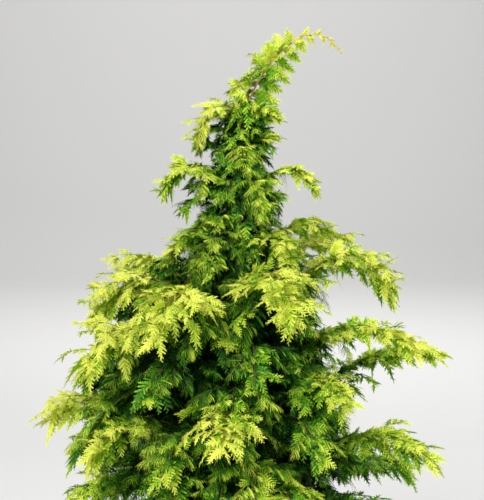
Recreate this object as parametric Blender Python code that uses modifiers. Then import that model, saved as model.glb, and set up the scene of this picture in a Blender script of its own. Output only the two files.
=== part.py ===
"""A golden fernleaf hinoki cypress, about a metre tall, in a plain clay pot.

Metres, +Z up. The origin is the middle of the pot's flat underside. +X is the side that the leader
leans to and -Y is the front of the plant.

The trunk runs whole from its flat foot on the soil to the leader. Each bough climbs away from it and
arches over under its own weight. The outer part of a bough is the stem of a mass of foliage: flat
toothed fronds to both sides that droop like a cape, some that hang under it, and one that carries
its tip. The main boughs have a bare limb between the trunk and their mass. The short and the lowest
ones are clothed right from the trunk.
"""

import math
from collections import namedtuple

import bmesh
import bpy
import numpy as np
from mathutils.bvhtree import BVHTree

# The pot and its soil
POT_HEIGHT = 0.310
POT_RIM_RADIUS = 0.182
POT_BASE_RADIUS = 0.120
POT_WALL = 0.013
RIM_BAND_HEIGHT = 0.050
RIM_BAND_PROUD = 0.009
ROUND_OVER = 0.004
FLOOR_THICKNESS = 0.016
DRAIN_HOLES = 4
DRAIN_HOLE_RADIUS = 0.011
DRAIN_HOLE_SIDES = 10
DRAIN_RING_RADIUS = 0.068
SOIL_BELOW_RIM = 0.030
TURNING_STEPS = 32

# The gap that meshes keep where two pieces touch, and the distance within which points are one
GAP = 0.0003
WELD = 0.00001

# The trunk and the thin arching end of the leader.
# Each point is sideways, away and up from the middle of the soil.
SOIL_TOP = POT_HEIGHT - SOIL_BELOW_RIM
TRUNK_ROUTE = (
    (0.000, 0.000, 0.000),
    (0.000, 0.000, 0.030),
    (0.006, 0.002, 0.150),
    (-0.004, 0.004, 0.350),
    (-0.006, 0.000, 0.580),
    (0.000, -0.002, 0.740),
    (0.007, 0.000, 0.815),
    (0.025, 0.000, 0.862),
    (0.056, 0.000, 0.908),
    (0.088, 0.000, 0.937),
)
PLUME_ROUTE = (
    (0.088, 0.000, 0.937),
    (0.112, -0.002, 0.951),
    (0.140, -0.005, 0.951),
    (0.163, -0.008, 0.936),
    (0.180, -0.010, 0.914),
)
ROUTE_STEPS = 4
TRUNK_FOOT_RADIUS = 0.0165
TRUNK_TIP_RADIUS = 0.0030
ROOT_FLARE = 0.010
FLARE_HEIGHT = 0.022
FOOT_TOLERANCE = 0.001
TRUNK_ROUNDNESS = 2

# The boughs. root is the height on the trunk above the soil, bearing the way the bough points in
# degrees (0 is +X and 90 is +Y), reach how far its tip is from the trunk, climb how much it would
# rise over that reach, and drop how far its own weight pulls the tip down.
Bough = namedtuple("Bough", "name root bearing reach climb drop")
CLOTHED_BOUGHS = (
    Bough("crest_left", 0.888, 165, 0.034, 0.045, 0.014),
    Bough("crest_right", 0.878, -14, 0.044, 0.010, 0.026),
    Bough("top_left", 0.800, 186, 0.076, 0.075, 0.142),
    Bough("top_right", 0.812, -18, 0.066, 0.016, 0.036),
    Bough("top_back", 0.785, 84, 0.088, 0.060, 0.110),
    Bough("neck_right", 0.735, -14, 0.076, 0.070, 0.042),
    Bough("neck_front", 0.742, 256, 0.066, 0.035, 0.075),
    Bough("upper_left", 0.672, 181, 0.140, 0.112, 0.132),
    Bough("upper_right", 0.668, -6, 0.142, 0.104, 0.110),
    Bough("upper_front", 0.680, 282, 0.106, 0.050, 0.105),
    Bough("upper_back", 0.675, 96, 0.132, 0.085, 0.125),
    Bough("column_left", 0.622, 204, 0.082, 0.030, 0.070),
    Bough("column_right", 0.608, 336, 0.078, 0.035, 0.080),
    Bough("waist_left", 0.530, 190, 0.132, 0.125, 0.100),
    Bough("waist_right", 0.530, 20, 0.186, 0.160, 0.108),
    Bough("waist_front", 0.585, 240, 0.120, 0.060, 0.130),
    Bough("waist_front_right", 0.565, 312, 0.140, 0.085, 0.120),
    Bough("waist_back", 0.540, 118, 0.175, 0.130, 0.110),
    Bough("lower_front_right", 0.250, 308, 0.295, 0.210, 0.135),
    Bough("lower_front_left", 0.165, 214, 0.345, 0.240, 0.195),
    Bough("lower_front", 0.175, 264, 0.325, 0.270, 0.165),
    Bough("low_right", 0.150, -24, 0.366, 0.185, 0.122),
    Bough("skirt_left", 0.080, 196, 0.330, 0.150, 0.125),
    Bough("skirt_front_left", 0.080, 240, 0.315, 0.150, 0.135),
    Bough("skirt_front", 0.100, 290, 0.330, 0.170, 0.140),
    Bough("skirt_front_right", 0.075, 326, 0.325, 0.120, 0.105),
    Bough("skirt_right", 0.090, 12, 0.345, 0.130, 0.110),
    Bough("skirt_back_right", 0.080, 54, 0.335, 0.140, 0.125),
    Bough("skirt_back", 0.095, 94, 0.320, 0.140, 0.135),
    Bough("skirt_back_left", 0.080, 144, 0.335, 0.150, 0.130),
)
LIMBED_BOUGHS = (
    Bough("middle_right", 0.400, -3, 0.292, 0.320, 0.255),
    Bough("middle_right_back", 0.420, 46, 0.310, 0.280, 0.165),
    Bough("middle_back", 0.395, 92, 0.290, 0.270, 0.210),
    Bough("middle_left_back", 0.386, 148, 0.290, 0.276, 0.175),
    Bough("middle_left", 0.352, 184, 0.272, 0.338, 0.272),
    Bough("middle_left_front", 0.322, 211, 0.338, 0.255, 0.207),
    Bough("middle_front_left", 0.365, 243, 0.288, 0.300, 0.235),
    Bough("middle_front", 0.395, 288, 0.275, 0.300, 0.235),
    Bough("middle_right_front", 0.350, -20, 0.335, 0.165, 0.120),
    Bough("lower_right", 0.228, 4, 0.388, 0.248, 0.118),
    Bough("lower_back_right", 0.240, 68, 0.330, 0.220, 0.140),
    Bough("lower_back_left", 0.225, 118, 0.335, 0.230, 0.150),
    Bough("lower_left", 0.135, 180, 0.386, 0.285, 0.188),
)
DROOP_POWER = 4
LONG_BOUGH = 0.24
AXIS_SEGMENTS = 8
SHORT_AXIS_SEGMENTS = 4
CURVE_STEPS = 64
LIMB_SHARE = 0.25
STEM_SHARE = 0.75
LIMB_ROOT_RADIUS = 0.0062
STEM_ROOT_RADIUS = 0.0044
STEM_TIP_RADIUS = 0.0017
LIMB_ROUNDNESS = 1
STEM_ROUNDNESS = 0
SIDE_SWEEP = 0.030
SWEEP_BY_BEARING = 3.1
SWEEP_BY_HEIGHT = 9.0

# A bough of full reach has stems and fronds of full size, and a shorter one down to these shares
FULL_REACH = 0.30
LEAST_STEM = 0.7
LEAST_SIDE_FROND = 0.3
LEAST_HANGING_FROND = 0.4

# The fronds. The sag is how far a frond's tip bends down, as a share of its length.
SIDE_FROND_LENGTH = 0.135
SHORTEST_FROND = 0.030
FROND_SHRINK = 0.62
SHRINK_POWER = 1.5
FROND_WIDTH_SHARE = 0.29
FROND_WIDTH_START = 0.16
FROND_BLUNTNESS = 0.8
FROND_ANGLE = math.radians(54)
FROND_RISE = 0.12
HEADING_STEP = 0.02
SIDE_FROND_SAG = 0.55
HANGING_FROND_SAG = 1.0
HANGING_FROND_LENGTH = 0.105
HANGING_ANGLES = (math.radians(35), math.radians(110))
FIRST_HANGER = 0.15
HANGER_SPACING = 0.45
TWIG_HALF_WIDTH = 0.0017
RIDGE_AT_TWIG = 0.0027
RIDGE_AT_TIP = 0.0013
NOTCH_SHARE = 0.34
TOOTH_LEAN = 0.85
EDGE_DROOP = 0.22
CLEARANCE = 0.0025
SMALL_FROND = 0.060
LARGE_FROND = 0.125
FEWEST_STATIONS = 3
MOST_PAIRS = 3
FIRST_PAIR = 0.45
PAIR_OFFSET = 0.02
LENGTH_SPREAD = 0.10
ANGLE_SPREAD = 0.12
SAG_SPREAD = 0.20
TIP_FROND_START = 0.70
CLOTHED_FROM = 0.16
LENGTH_TRIES = (1.0, 0.84, 0.7, 0.56)
SEED = 41

UP = np.array((0.0, 0.0, 1.0))
BOUGHS = CLOTHED_BOUGHS + LIMBED_BOUGHS


def clear_scene():
    for obj in list(bpy.data.objects):
        bpy.data.objects.remove(obj, do_unlink=True)


def new_collection(name):
    collection = bpy.data.collections.new(name)
    bpy.context.scene.collection.children.link(collection)
    return collection


def new_material(name, colour, roughness):
    material = bpy.data.materials.new(name)
    material.use_nodes = True
    shader = material.node_tree.nodes["Principled BSDF"]
    shader.inputs["Base Color"].default_value = (*colour, 1.0)
    shader.inputs["Roughness"].default_value = roughness
    shader.inputs["Metallic"].default_value = 0.0
    return material


def unit(vectors):
    vectors = np.asarray(vectors, float)
    return vectors / np.linalg.norm(vectors, axis=-1, keepdims=True)


def tangents(points):
    return unit(np.gradient(points, axis=0))


def distances_along(points):
    steps = np.linalg.norm(np.diff(points, axis=0), axis=1)
    return np.concatenate([[0], np.cumsum(steps)])


def axis_segments(length):
    return AXIS_SEGMENTS if length > LONG_BOUGH else SHORT_AXIS_SEGMENTS


def share_of_full(least, length):
    """From the least share up to 1, which a bough of full reach has."""
    return least + (1 - least) * min(1.0, length / FULL_REACH)


def resampled(points, count, first_share=0.0, last_share=1.0):
    """An even row of points along a stretch of a path, given as shares of its length."""
    along = distances_along(points)
    at = np.linspace(first_share, last_share, count) * along[-1]
    return np.stack([np.interp(at, along, points[:, k]) for k in range(3)], axis=1)


def smooth_route(route):
    """A Catmull-Rom curve through the route's points, set on the soil."""
    knots = np.array(route, float)
    knots = np.vstack([2 * knots[0] - knots[1], knots, 2 * knots[-1] - knots[-2]])
    share = np.linspace(0, 1, ROUTE_STEPS, endpoint=False)[:, None]
    pieces = []
    for before, start, end, after in zip(knots, knots[1:], knots[2:], knots[3:]):
        square_term = 2 * before - 5 * start + 4 * end - after
        cube_term = 3 * start - before - 3 * end + after
        doubled = 2 * start + (end - before) * share + square_term * share**2 + cube_term * share**3
        pieces.append(doubled / 2)
    return np.vstack([*pieces, knots[-2]]) + UP * SOIL_TOP


TRUNK = smooth_route(TRUNK_ROUTE)
PLUME = resampled(smooth_route(PLUME_ROUTE), SHORT_AXIS_SEGMENTS + 1)


def trunk_radii():
    """The trunk tapers evenly along its length and flares out just above the soil."""
    along = distances_along(TRUNK)
    taper = TRUNK_FOOT_RADIUS + (TRUNK_TIP_RADIUS - TRUNK_FOOT_RADIUS) * along / along[-1]
    return taper + ROOT_FLARE * np.exp(-(TRUNK[:, 2] - SOIL_TOP) / FLARE_HEIGHT)


def bough_axis(bough):
    """The bough's middle line, from the trunk's middle to the bough's tip."""
    root_height = SOIL_TOP + bough.root
    root = np.array([np.interp(root_height, TRUNK[:, 2], TRUNK[:, k]) for k in range(3)])
    bearing = math.radians(bough.bearing)
    out = np.array((math.cos(bearing), math.sin(bearing), 0.0))
    sweep = SIDE_SWEEP * math.sin(SWEEP_BY_BEARING * bearing + SWEEP_BY_HEIGHT * bough.root)
    aside = np.cross(UP, out) * sweep
    share = np.linspace(0, 1, CURVE_STEPS + 1)[:, None]
    height = bough.climb * share - bough.drop * share**DROOP_POWER
    curve = root + bough.reach * out * share + aside * share**2 + UP * height
    return resampled(curve, axis_segments(distances_along(curve)[-1]) + 1)


def limb_mesh(points, radii, roundness):
    """A tapering round limb, as a curve with filled caps made into one closed mesh."""
    curve = bpy.data.curves.new("limb", "CURVE")
    curve.dimensions = "3D"
    curve.bevel_depth = 1.0
    curve.bevel_resolution = roundness
    curve.use_fill_caps = True
    spline = curve.splines.new("POLY")
    spline.points.add(len(points) - 1)
    spline.points.foreach_set("co", np.column_stack([points, np.ones(len(points))]).ravel())
    spline.points.foreach_set("radius", np.asarray(radii, float))
    guide = bpy.data.objects.new("limb", curve)
    bpy.context.scene.collection.objects.link(guide)
    evaluated = guide.evaluated_get(bpy.context.evaluated_depsgraph_get())
    mesh = bpy.data.meshes.new_from_object(evaluated)
    welded = bmesh.new()
    welded.from_mesh(mesh)
    bmesh.ops.remove_doubles(welded, verts=welded.verts, dist=WELD)
    bmesh.ops.recalc_face_normals(welded, faces=welded.faces)
    welded.to_mesh(mesh)
    welded.free()
    bpy.data.objects.remove(guide)
    bpy.data.curves.remove(curve)
    return mesh


def new_object(name, mesh, collection, material=None):
    obj = bpy.data.objects.new(name, mesh)
    collection.objects.link(obj)
    if material is not None:
        mesh.materials.clear()
        mesh.materials.append(material)
    return obj


def as_cutter(obj, cutters):
    for collection in list(obj.users_collection):
        collection.objects.unlink(obj)
    cutters.objects.link(obj)
    obj.hide_render = True
    obj.display_type = "WIRE"


def cut(obj, cutter):
    modifier = obj.modifiers.new("clear_of_" + cutter.name, "BOOLEAN")
    modifier.operation = "DIFFERENCE"
    modifier.object = cutter


def turned(name, profile, collection, material):
    """A solid turned about the upright axis. Its half profile runs down the outer side."""
    mesh = bpy.data.meshes.new(name)
    points = [(radius, 0.0, height) for radius, height in profile]
    mesh.from_pydata(points, [(i, i + 1) for i in range(len(points) - 1)], [])
    obj = new_object(name, mesh, collection, material)
    screw = obj.modifiers.new("turn", "SCREW")
    screw.steps = screw.render_steps = TURNING_STEPS
    screw.use_merge_vertices = True
    screw.merge_threshold = WELD
    return obj


def wall_radius(height):
    """The outer radius of the pot's plain wall at a height."""
    return POT_BASE_RADIUS + (POT_RIM_RADIUS - POT_BASE_RADIUS) * height / POT_HEIGHT


def inner_radius(height):
    """The inner radius of the pot at a height above its floor."""
    foot = POT_BASE_RADIUS - POT_WALL
    share = (height - FLOOR_THICKNESS) / (POT_HEIGHT - FLOOR_THICKNESS)
    return foot + (POT_RIM_RADIUS - POT_WALL - foot) * share


def make_pot(collection, cutters, material):
    """A clay pot with a plain band round its rim and drain holes round the solid middle."""
    band_foot = POT_HEIGHT - RIM_BAND_HEIGHT
    rim_outer = POT_RIM_RADIUS + RIM_BAND_PROUD
    profile = (
        (inner_radius(POT_HEIGHT), POT_HEIGHT),
        (rim_outer - ROUND_OVER, POT_HEIGHT),
        (rim_outer, POT_HEIGHT - ROUND_OVER),
        (rim_outer - ROUND_OVER / 2, band_foot + ROUND_OVER),
        (rim_outer - ROUND_OVER, band_foot),
        (wall_radius(band_foot), band_foot),
        (wall_radius(ROUND_OVER), ROUND_OVER),
        (POT_BASE_RADIUS - ROUND_OVER, 0.0),
        (0.0, 0.0),
        (0.0, FLOOR_THICKNESS),
        (inner_radius(FLOOR_THICKNESS), FLOOR_THICKNESS),
        (inner_radius(POT_HEIGHT), POT_HEIGHT),
    )
    pot = turned("pot", profile, collection, material)
    for i in range(DRAIN_HOLES):
        angle = 2 * math.pi * (i + 0.5) / DRAIN_HOLES
        place = (DRAIN_RING_RADIUS * math.cos(angle), DRAIN_RING_RADIUS * math.sin(angle), 0)
        bpy.ops.mesh.primitive_cylinder_add(
            vertices=DRAIN_HOLE_SIDES,
            radius=DRAIN_HOLE_RADIUS,
            depth=4 * FLOOR_THICKNESS,
            location=place,
        )
        hole = bpy.context.object
        hole.name = f"drain_hole_{i + 1}"
        as_cutter(hole, cutters)
        cut(pot, hole)
    return pot


def make_soil(collection, material):
    """The potting soil fills the pot up to the foot of the trunk."""
    floor = FLOOR_THICKNESS + GAP
    facet_room = 1.5 * GAP
    profile = (
        (0.0, SOIL_TOP - GAP),
        (inner_radius(SOIL_TOP) - facet_room, SOIL_TOP - GAP),
        (inner_radius(floor) - facet_room, floor),
        (0.0, floor),
    )
    return turned("soil", profile, collection, material)


def make_trunk(collection, cutters, material):
    """The trunk, and a copy a gap wider that keeps what grows on it clear."""
    mesh = limb_mesh(TRUNK, trunk_radii(), TRUNK_ROUNDNESS)
    trunk = new_object("trunk", mesh, collection, material)
    trunk.data.shade_smooth()
    for vertex in trunk.data.vertices:
        if vertex.co.z < SOIL_TOP + FOOT_TOLERANCE:
            vertex.co.z = SOIL_TOP
    wider = limb_mesh(TRUNK, trunk_radii() + GAP, TRUNK_ROUNDNESS)
    room = new_object("trunk_room", wider, collection)
    as_cutter(room, cutters)
    return room


def frond_shape(rib, half_width, room=0.0):
    """A thin toothed blade as points and faces. It has a ridge along its rib, a flat underside and
    edges that droop, and its first stretch is a bare twig. With room it is that much fatter."""
    stations = len(rib) - 1
    along = tangents(rib)
    side = unit(np.cross(along, UP))
    lift = np.cross(side, along)
    share = np.linspace(0, 1, stations + 1)
    phase = math.pi * (FROND_WIDTH_START + (1 - FROND_WIDTH_START) * share)
    width = half_width * np.sin(phase) ** FROND_BLUNTNESS + room
    ridge_height = RIDGE_AT_TWIG + (RIDGE_AT_TIP - RIDGE_AT_TWIG) * share + room
    notch_width = np.where(share > 0, NOTCH_SHARE * width, TWIG_HALF_WIDTH + room)
    tooth_lean = along * TOOTH_LEAN * distances_along(rib)[-1] / stations
    under = lift * room
    ridge = (rib + lift * ridge_height[:, None])[:-1]
    edges = []
    teeth = []
    for outward in (-side, side):
        slope = outward - EDGE_DROOP * lift
        edges.append((rib + slope * notch_width[:, None] - under)[:-1])
        teeth.append((rib + tooth_lean + slope * (width[:, None] + room))[1:-1])
    points = np.vstack([ridge, *edges, *teeth, rib[-1:] + along[-1:] * room])

    def at(row, i):
        return {"ridge": 0, "left": 1, "right": 2}[row] * stations + i

    def tooth(row, i):
        return 3 * stations + {"left": 0, "right": 1}[row] * (stations - 1) + i - 1

    end = len(points) - 1
    last = stations - 1
    faces = [
        (at("ridge", 0), at("left", 0), at("right", 0)),
        (at("ridge", 0), at("ridge", 1), at("left", 1), at("left", 0)),
        (at("ridge", 0), at("right", 0), at("right", 1), at("ridge", 1)),
        (at("left", 0), at("left", 1), at("right", 1), at("right", 0)),
        (at("ridge", last), tooth("left", last), at("left", last)),
        (at("ridge", last), end, tooth("left", last)),
        (at("ridge", last), at("right", last), tooth("right", last)),
        (at("ridge", last), tooth("right", last), end),
        (at("left", last), tooth("left", last), end),
        (at("right", last), end, tooth("right", last)),
        (at("left", last), end, at("right", last)),
    ]
    for i in range(1, last):
        faces += [
            (at("ridge", i), tooth("left", i), at("left", i)),
            (at("ridge", i), at("ridge", i + 1), tooth("left", i)),
            (at("ridge", i + 1), at("left", i + 1), tooth("left", i)),
            (at("ridge", i), at("right", i), tooth("right", i)),
            (at("ridge", i), tooth("right", i), at("ridge", i + 1)),
            (at("ridge", i + 1), tooth("right", i), at("right", i + 1)),
            (at("left", i), at("left", i + 1), at("right", i + 1), at("right", i)),
            (at("left", i), tooth("left", i), at("left", i + 1)),
            (at("right", i), at("right", i + 1), tooth("right", i)),
        ]
    return points.tolist(), faces


def side_rib(axis, share, sign, length, sag, angle):
    """The rib of a frond that leaves the stem at an angle, rises a little and bends down."""
    near = resampled(axis, 3, share - HEADING_STEP, share + HEADING_STEP)
    heading = near[2] - near[0]
    flat = unit(heading * (1, 1, 0))
    aside = np.cross(UP, flat) * sign
    out = flat * math.cos(angle) + aside * math.sin(angle) + UP * FROND_RISE
    steps = np.linspace(0, 1, stations_for(length) + 1)[:, None]
    return near[1] + length * (out * steps - UP * sag * steps**2)


def touches(shell, others):
    return any(shell.overlap(other) for other in others)


class Growth:
    """What has grown so far, so that a new frond can be kept clear of what isn't its own."""

    def __init__(self):
        self.trees = []
        self.fronds = {}

    def claim_mesh(self, owner, mesh):
        points = [tuple(vertex.co) for vertex in mesh.vertices]
        faces = [tuple(face.vertices) for face in mesh.polygons]
        self.trees.append((owner, "wood", BVHTree.FromPolygons(points, faces)))

    def add_frond(self, owner, rib_of, length):
        """Adds a frond at the greatest length at which it touches nothing, or leaves it out."""
        for share in LENGTH_TRIES:
            rib = rib_of(length * share)
            half_width = length * share * FROND_WIDTH_SHARE
            shape = frond_shape(rib, half_width)
            own = BVHTree.FromPolygons(*shape)
            room = BVHTree.FromPolygons(*frond_shape(rib, half_width, CLEARANCE))
            others = [tree for other, kind, tree in self.trees if other != owner]
            sisters = [tree for other, kind, tree in self.trees if (other, kind) == (owner, "frond")]
            if not touches(own, others + sisters) and not touches(room, others):
                self.trees.append((owner, "frond", own))
                self.fronds.setdefault(owner, []).append(shape)
                return


def side_frond_length(bough_length, share):
    """Side fronds are shorter towards the tip and on a short bough."""
    longest = SIDE_FROND_LENGTH * share_of_full(LEAST_SIDE_FROND, bough_length)
    return max(longest * (1 - FROND_SHRINK * share**SHRINK_POWER), SHORTEST_FROND)


def stations_for(length):
    """A longer frond has more teeth."""
    return FEWEST_STATIONS + (length >= SMALL_FROND) + (length >= LARGE_FROND)


def varied(chance, spread):
    return chance.uniform(1 - spread, 1 + spread)


def grow_fronds(growth, axes, starts):
    """Grows every mass's fronds: first the tips, then the sides from the tip inwards, then the
    ones that hang under the boughs."""
    chance = np.random.default_rng(SEED)
    lengths = {name: distances_along(axis)[-1] for name, axis in axes.items()}
    for name, axis in axes.items():

        def tip_rib(size, axis=axis, length=lengths[name]):
            last = TIP_FROND_START + size / length
            return resampled(axis, stations_for(size) + 1, TIP_FROND_START, last)

        growth.add_frond(name, tip_rib, lengths[name] * (1 - TIP_FROND_START))
    for rank in range(MOST_PAIRS):
        for name, axis in axes.items():
            pairs = MOST_PAIRS if lengths[name] > LONG_BOUGH else MOST_PAIRS - 1
            if rank >= pairs:
                continue
            share = STEM_SHARE - (STEM_SHARE - starts[name]) * (rank + FIRST_PAIR) / pairs
            for sign in (1, -1):
                place = share + sign * PAIR_OFFSET
                length = side_frond_length(lengths[name], place) * varied(chance, LENGTH_SPREAD)
                angle = FROND_ANGLE * varied(chance, ANGLE_SPREAD)
                sag = SIDE_FROND_SAG * varied(chance, SAG_SPREAD)

                def side(size, axis=axis, place=place, sign=sign, sag=sag, angle=angle):
                    return side_rib(axis, place, sign, size, sag, angle)

                growth.add_frond(name, side, length)
    for name, axis in axes.items():
        low = starts[name] == CLOTHED_FROM and lengths[name] > LONG_BOUGH
        for i in range(1 if low else 2):
            along = FIRST_HANGER + HANGER_SPACING * i
            place = starts[name] + (STEM_SHARE - starts[name]) * along
            sign = 1 if (i + len(name)) % 2 else -1
            angle = chance.uniform(*HANGING_ANGLES)
            length = HANGING_FROND_LENGTH * share_of_full(LEAST_HANGING_FROND, lengths[name])

            def hanging(size, axis=axis, place=place, sign=sign, angle=angle):
                return side_rib(axis, place, sign, size, HANGING_FROND_SAG, angle)

            growth.add_frond(name, hanging, length)


def stretch_of(axis, first_share, last_share):
    """The points of an axis between two shares of its length, with the axis's own spacing."""
    segments = round((last_share - first_share) * (len(axis) - 1))
    return resampled(axis, segments + 1, first_share, last_share)


def make_limb(bough, axis, collection, material, trunk_room):
    """The bare part of a bough, from the trunk to the place where it enters its mass."""
    points = stretch_of(axis, 0.0, LIMB_SHARE)
    radii = np.linspace(LIMB_ROOT_RADIUS, STEM_ROOT_RADIUS, len(points))
    mesh = limb_mesh(points, radii, LIMB_ROUNDNESS)
    limb = new_object(bough.name + "_bough", mesh, collection, material)
    cut(limb, trunk_room)
    return limb


def stem_of(axis, first_share, root_radius):
    """The stem of a mass. On a limb it starts a gap beyond the limb's end."""
    points = stretch_of(axis, first_share, STEM_SHARE)
    if first_share > 0:
        points[0] += unit(points[1] - points[0]) * GAP
    radii = np.linspace(root_radius, STEM_TIP_RADIUS, len(points))
    return limb_mesh(points, radii, STEM_ROUNDNESS)


def join_mass(name, stem, shapes, collection, material, trunk_room):
    """One mass of foliage as one solid: its stem with every frond joined on."""
    mass = new_object(name + "_foliage", stem, collection, material)
    sprays = new_collection("sprays")
    for points, faces in shapes:
        mesh = bpy.data.meshes.new("spray")
        mesh.from_pydata(points, [], faces)
        new_object("spray", mesh, sprays)
    join = mass.modifiers.new("join", "BOOLEAN")
    join.operation = "UNION"
    join.operand_type = "COLLECTION"
    join.collection = sprays
    cut(mass, trunk_room)
    evaluated = mass.evaluated_get(bpy.context.evaluated_depsgraph_get())
    joined = bpy.data.meshes.new_from_object(evaluated)
    mass.modifiers.clear()
    mass.data = joined
    for spray in list(sprays.objects):
        bpy.data.objects.remove(spray)
    bpy.data.collections.remove(sprays)
    return mass


def main():
    clear_scene()
    plant = new_collection("potted_fernleaf_hinoki")
    cutters = new_collection("cutters")
    clay = new_material("clay", (0.47, 0.20, 0.11), 0.85)
    soil = new_material("soil", (0.07, 0.045, 0.03), 0.95)
    bark = new_material("bark", (0.23, 0.11, 0.06), 0.85)
    foliage = new_material("foliage", (0.42, 0.50, 0.06), 0.6)

    pot = make_pot(plant, cutters, clay)
    make_soil(plant, soil)
    trunk_room = make_trunk(plant, cutters, bark)
    growth = Growth()
    growth.claim_mesh("pot", pot.evaluated_get(bpy.context.evaluated_depsgraph_get()).to_mesh())
    growth.claim_mesh("trunk", trunk_room.data)

    axes = {"plume": PLUME}
    starts = {"plume": CLOTHED_FROM}
    stems = {"plume": stem_of(PLUME, 0.0, TRUNK_TIP_RADIUS - GAP)}
    for bough in BOUGHS:
        axis = bough_axis(bough)
        root_radius = STEM_ROOT_RADIUS * share_of_full(LEAST_STEM, bough.reach)
        axes[bough.name] = axis
        if bough in LIMBED_BOUGHS:
            limb = make_limb(bough, axis, plant, bark, trunk_room)
            growth.claim_mesh("limbs", limb.data)
            starts[bough.name] = LIMB_SHARE
            stems[bough.name] = stem_of(axis, LIMB_SHARE, root_radius)
        else:
            starts[bough.name] = CLOTHED_FROM
            stems[bough.name] = stem_of(axis, 0.0, root_radius)
    for name, stem in stems.items():
        growth.claim_mesh(name, stem)
    grow_fronds(growth, axes, starts)
    for name, stem in stems.items():
        join_mass(name, stem, growth.fronds.get(name, []), plant, foliage, trunk_room)


main()
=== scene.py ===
"""The looks of a golden fernleaf hinoki cypress, about a metre tall, in a plain clay pot.

Metres, +Z up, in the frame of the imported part. The origin is the middle of the pot's flat underside,
-Y is the front of the plant and +X the side that its leader bends to. The sections follow the plant
as it is put together: the pot, the soil in it, the trunk, the boughs, and the sprays on them.
"""

import math
from collections import namedtuple

import bpy
import numpy as np
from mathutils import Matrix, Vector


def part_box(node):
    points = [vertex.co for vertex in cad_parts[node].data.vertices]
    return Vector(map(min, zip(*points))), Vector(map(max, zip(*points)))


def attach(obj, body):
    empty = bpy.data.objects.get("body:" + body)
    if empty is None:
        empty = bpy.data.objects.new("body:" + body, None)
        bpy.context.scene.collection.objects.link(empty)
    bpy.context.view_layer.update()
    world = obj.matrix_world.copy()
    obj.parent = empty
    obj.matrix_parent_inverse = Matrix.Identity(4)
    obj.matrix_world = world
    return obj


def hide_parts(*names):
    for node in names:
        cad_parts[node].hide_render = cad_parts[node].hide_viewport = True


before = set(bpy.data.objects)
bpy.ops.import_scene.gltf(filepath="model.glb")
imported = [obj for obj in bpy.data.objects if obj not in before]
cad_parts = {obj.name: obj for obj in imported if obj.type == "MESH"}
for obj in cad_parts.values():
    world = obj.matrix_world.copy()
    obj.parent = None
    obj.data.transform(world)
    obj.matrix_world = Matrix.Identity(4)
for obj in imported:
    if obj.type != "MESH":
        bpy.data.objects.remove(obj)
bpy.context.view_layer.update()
UP = np.array((0.0, 0.0, 1.0))


# The camera stands before the plant and looks a little down on it, near enough for the low boughs
# to come towards it. Its frame ends above the pot, as the photograph's does.
CAMERA_DISTANCE = 2.2
CAMERA_HEIGHT = 1.135
CAMERA_TILT = math.radians(7.46)
FIELD_OF_VIEW = math.radians(23.12)

camera = bpy.data.cameras.new("camera")
camera.angle = FIELD_OF_VIEW
camera_stand = bpy.data.objects.new("camera", camera)
camera_stand.location = (0, -CAMERA_DISTANCE, CAMERA_HEIGHT)
camera_stand.rotation_euler = (math.radians(90) - CAMERA_TILT, 0, 0)
bpy.context.scene.collection.objects.link(camera_stand)
bpy.context.scene.camera = camera_stand
bpy.context.scene.view_settings.view_transform = "Standard"


# The studio: a pale sheet that is floor in front and sweeps up to a wall behind, under large soft
# lamps, the strongest of them high in front like a bright overcast sky, and one for the wall alone.
SHEET_HALF_WIDTH = 24.0
SHEET_FRONT = -24.0
SHEET_BACK = 5.0
SHEET_SWEEP = 2.0
SHEET_HEIGHT = 7.0
SWEEP_STEPS = 16
SHEET_COLOUR = (0.80, 0.79, 0.77)
SHEET_ROUGHNESS = 0.9
SKY_COLOUR = (0.93, 0.96, 1.0)
SKY_STRENGTH = 0.32
PLANT_AIM = (0.0, 0.0, 0.7)
WALL_AIM = (0.0, 7.0, 2.0)
LAMPS = (
    ("key_lamp", (-1.6, -2.4, 3.6), PLANT_AIM, 2.2, 138),
    ("right_lamp", (2.8, -1.2, 2.2), PLANT_AIM, 2.0, 55),
    ("back_lamp", (0.6, 3.0, 3.4), PLANT_AIM, 2.4, 60),
    ("wall_lamp", (0.0, 3.2, 3.6), WALL_AIM, 4.0, 70),
)


def new_piece(name, points, face_sets, materials, slots=0, smooth=False):
    """A mesh object at the origin. Each face set is an array of faces with one number of corners."""
    corners = np.concatenate([faces.ravel() for faces in face_sets])
    sizes = np.concatenate([np.full(len(faces), faces.shape[1]) for faces in face_sets])
    mesh = bpy.data.meshes.new(name)
    mesh.vertices.add(len(points))
    mesh.vertices.foreach_set("co", np.ascontiguousarray(points, np.float32).ravel())
    mesh.loops.add(len(corners))
    mesh.loops.foreach_set("vertex_index", corners.astype(np.int32))
    mesh.polygons.add(len(sizes))
    mesh.polygons.foreach_set("loop_start", (np.cumsum(sizes) - sizes).astype(np.int32))
    mesh.polygons.foreach_set("material_index", np.broadcast_to(slots, len(sizes)).astype(np.int32))
    mesh.polygons.foreach_set("use_smooth", np.full(len(sizes), smooth))
    for material in materials:
        mesh.materials.append(material)
    mesh.update(calc_edges=True)
    piece = bpy.data.objects.new(name, mesh)
    bpy.context.scene.collection.objects.link(piece)
    return piece


def new_material(name, colour, roughness):
    """A material with one Principled shader, and its nodes."""
    material = bpy.data.materials.new(name)
    material.use_nodes = True
    shader = material.node_tree.nodes["Principled BSDF"]
    shader.inputs["Base Color"].default_value = (*colour, 1.0)
    shader.inputs["Roughness"].default_value = roughness
    return material, material.node_tree.nodes, material.node_tree.links, shader


def grid_faces(rows, columns):
    """The quads of a grid of points that is stored row by row."""
    corner = (np.arange(rows - 1)[:, None] * columns + np.arange(columns - 1)).ravel()
    return np.stack([corner, corner + 1, corner + columns + 1, corner + columns], axis=1)


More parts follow.
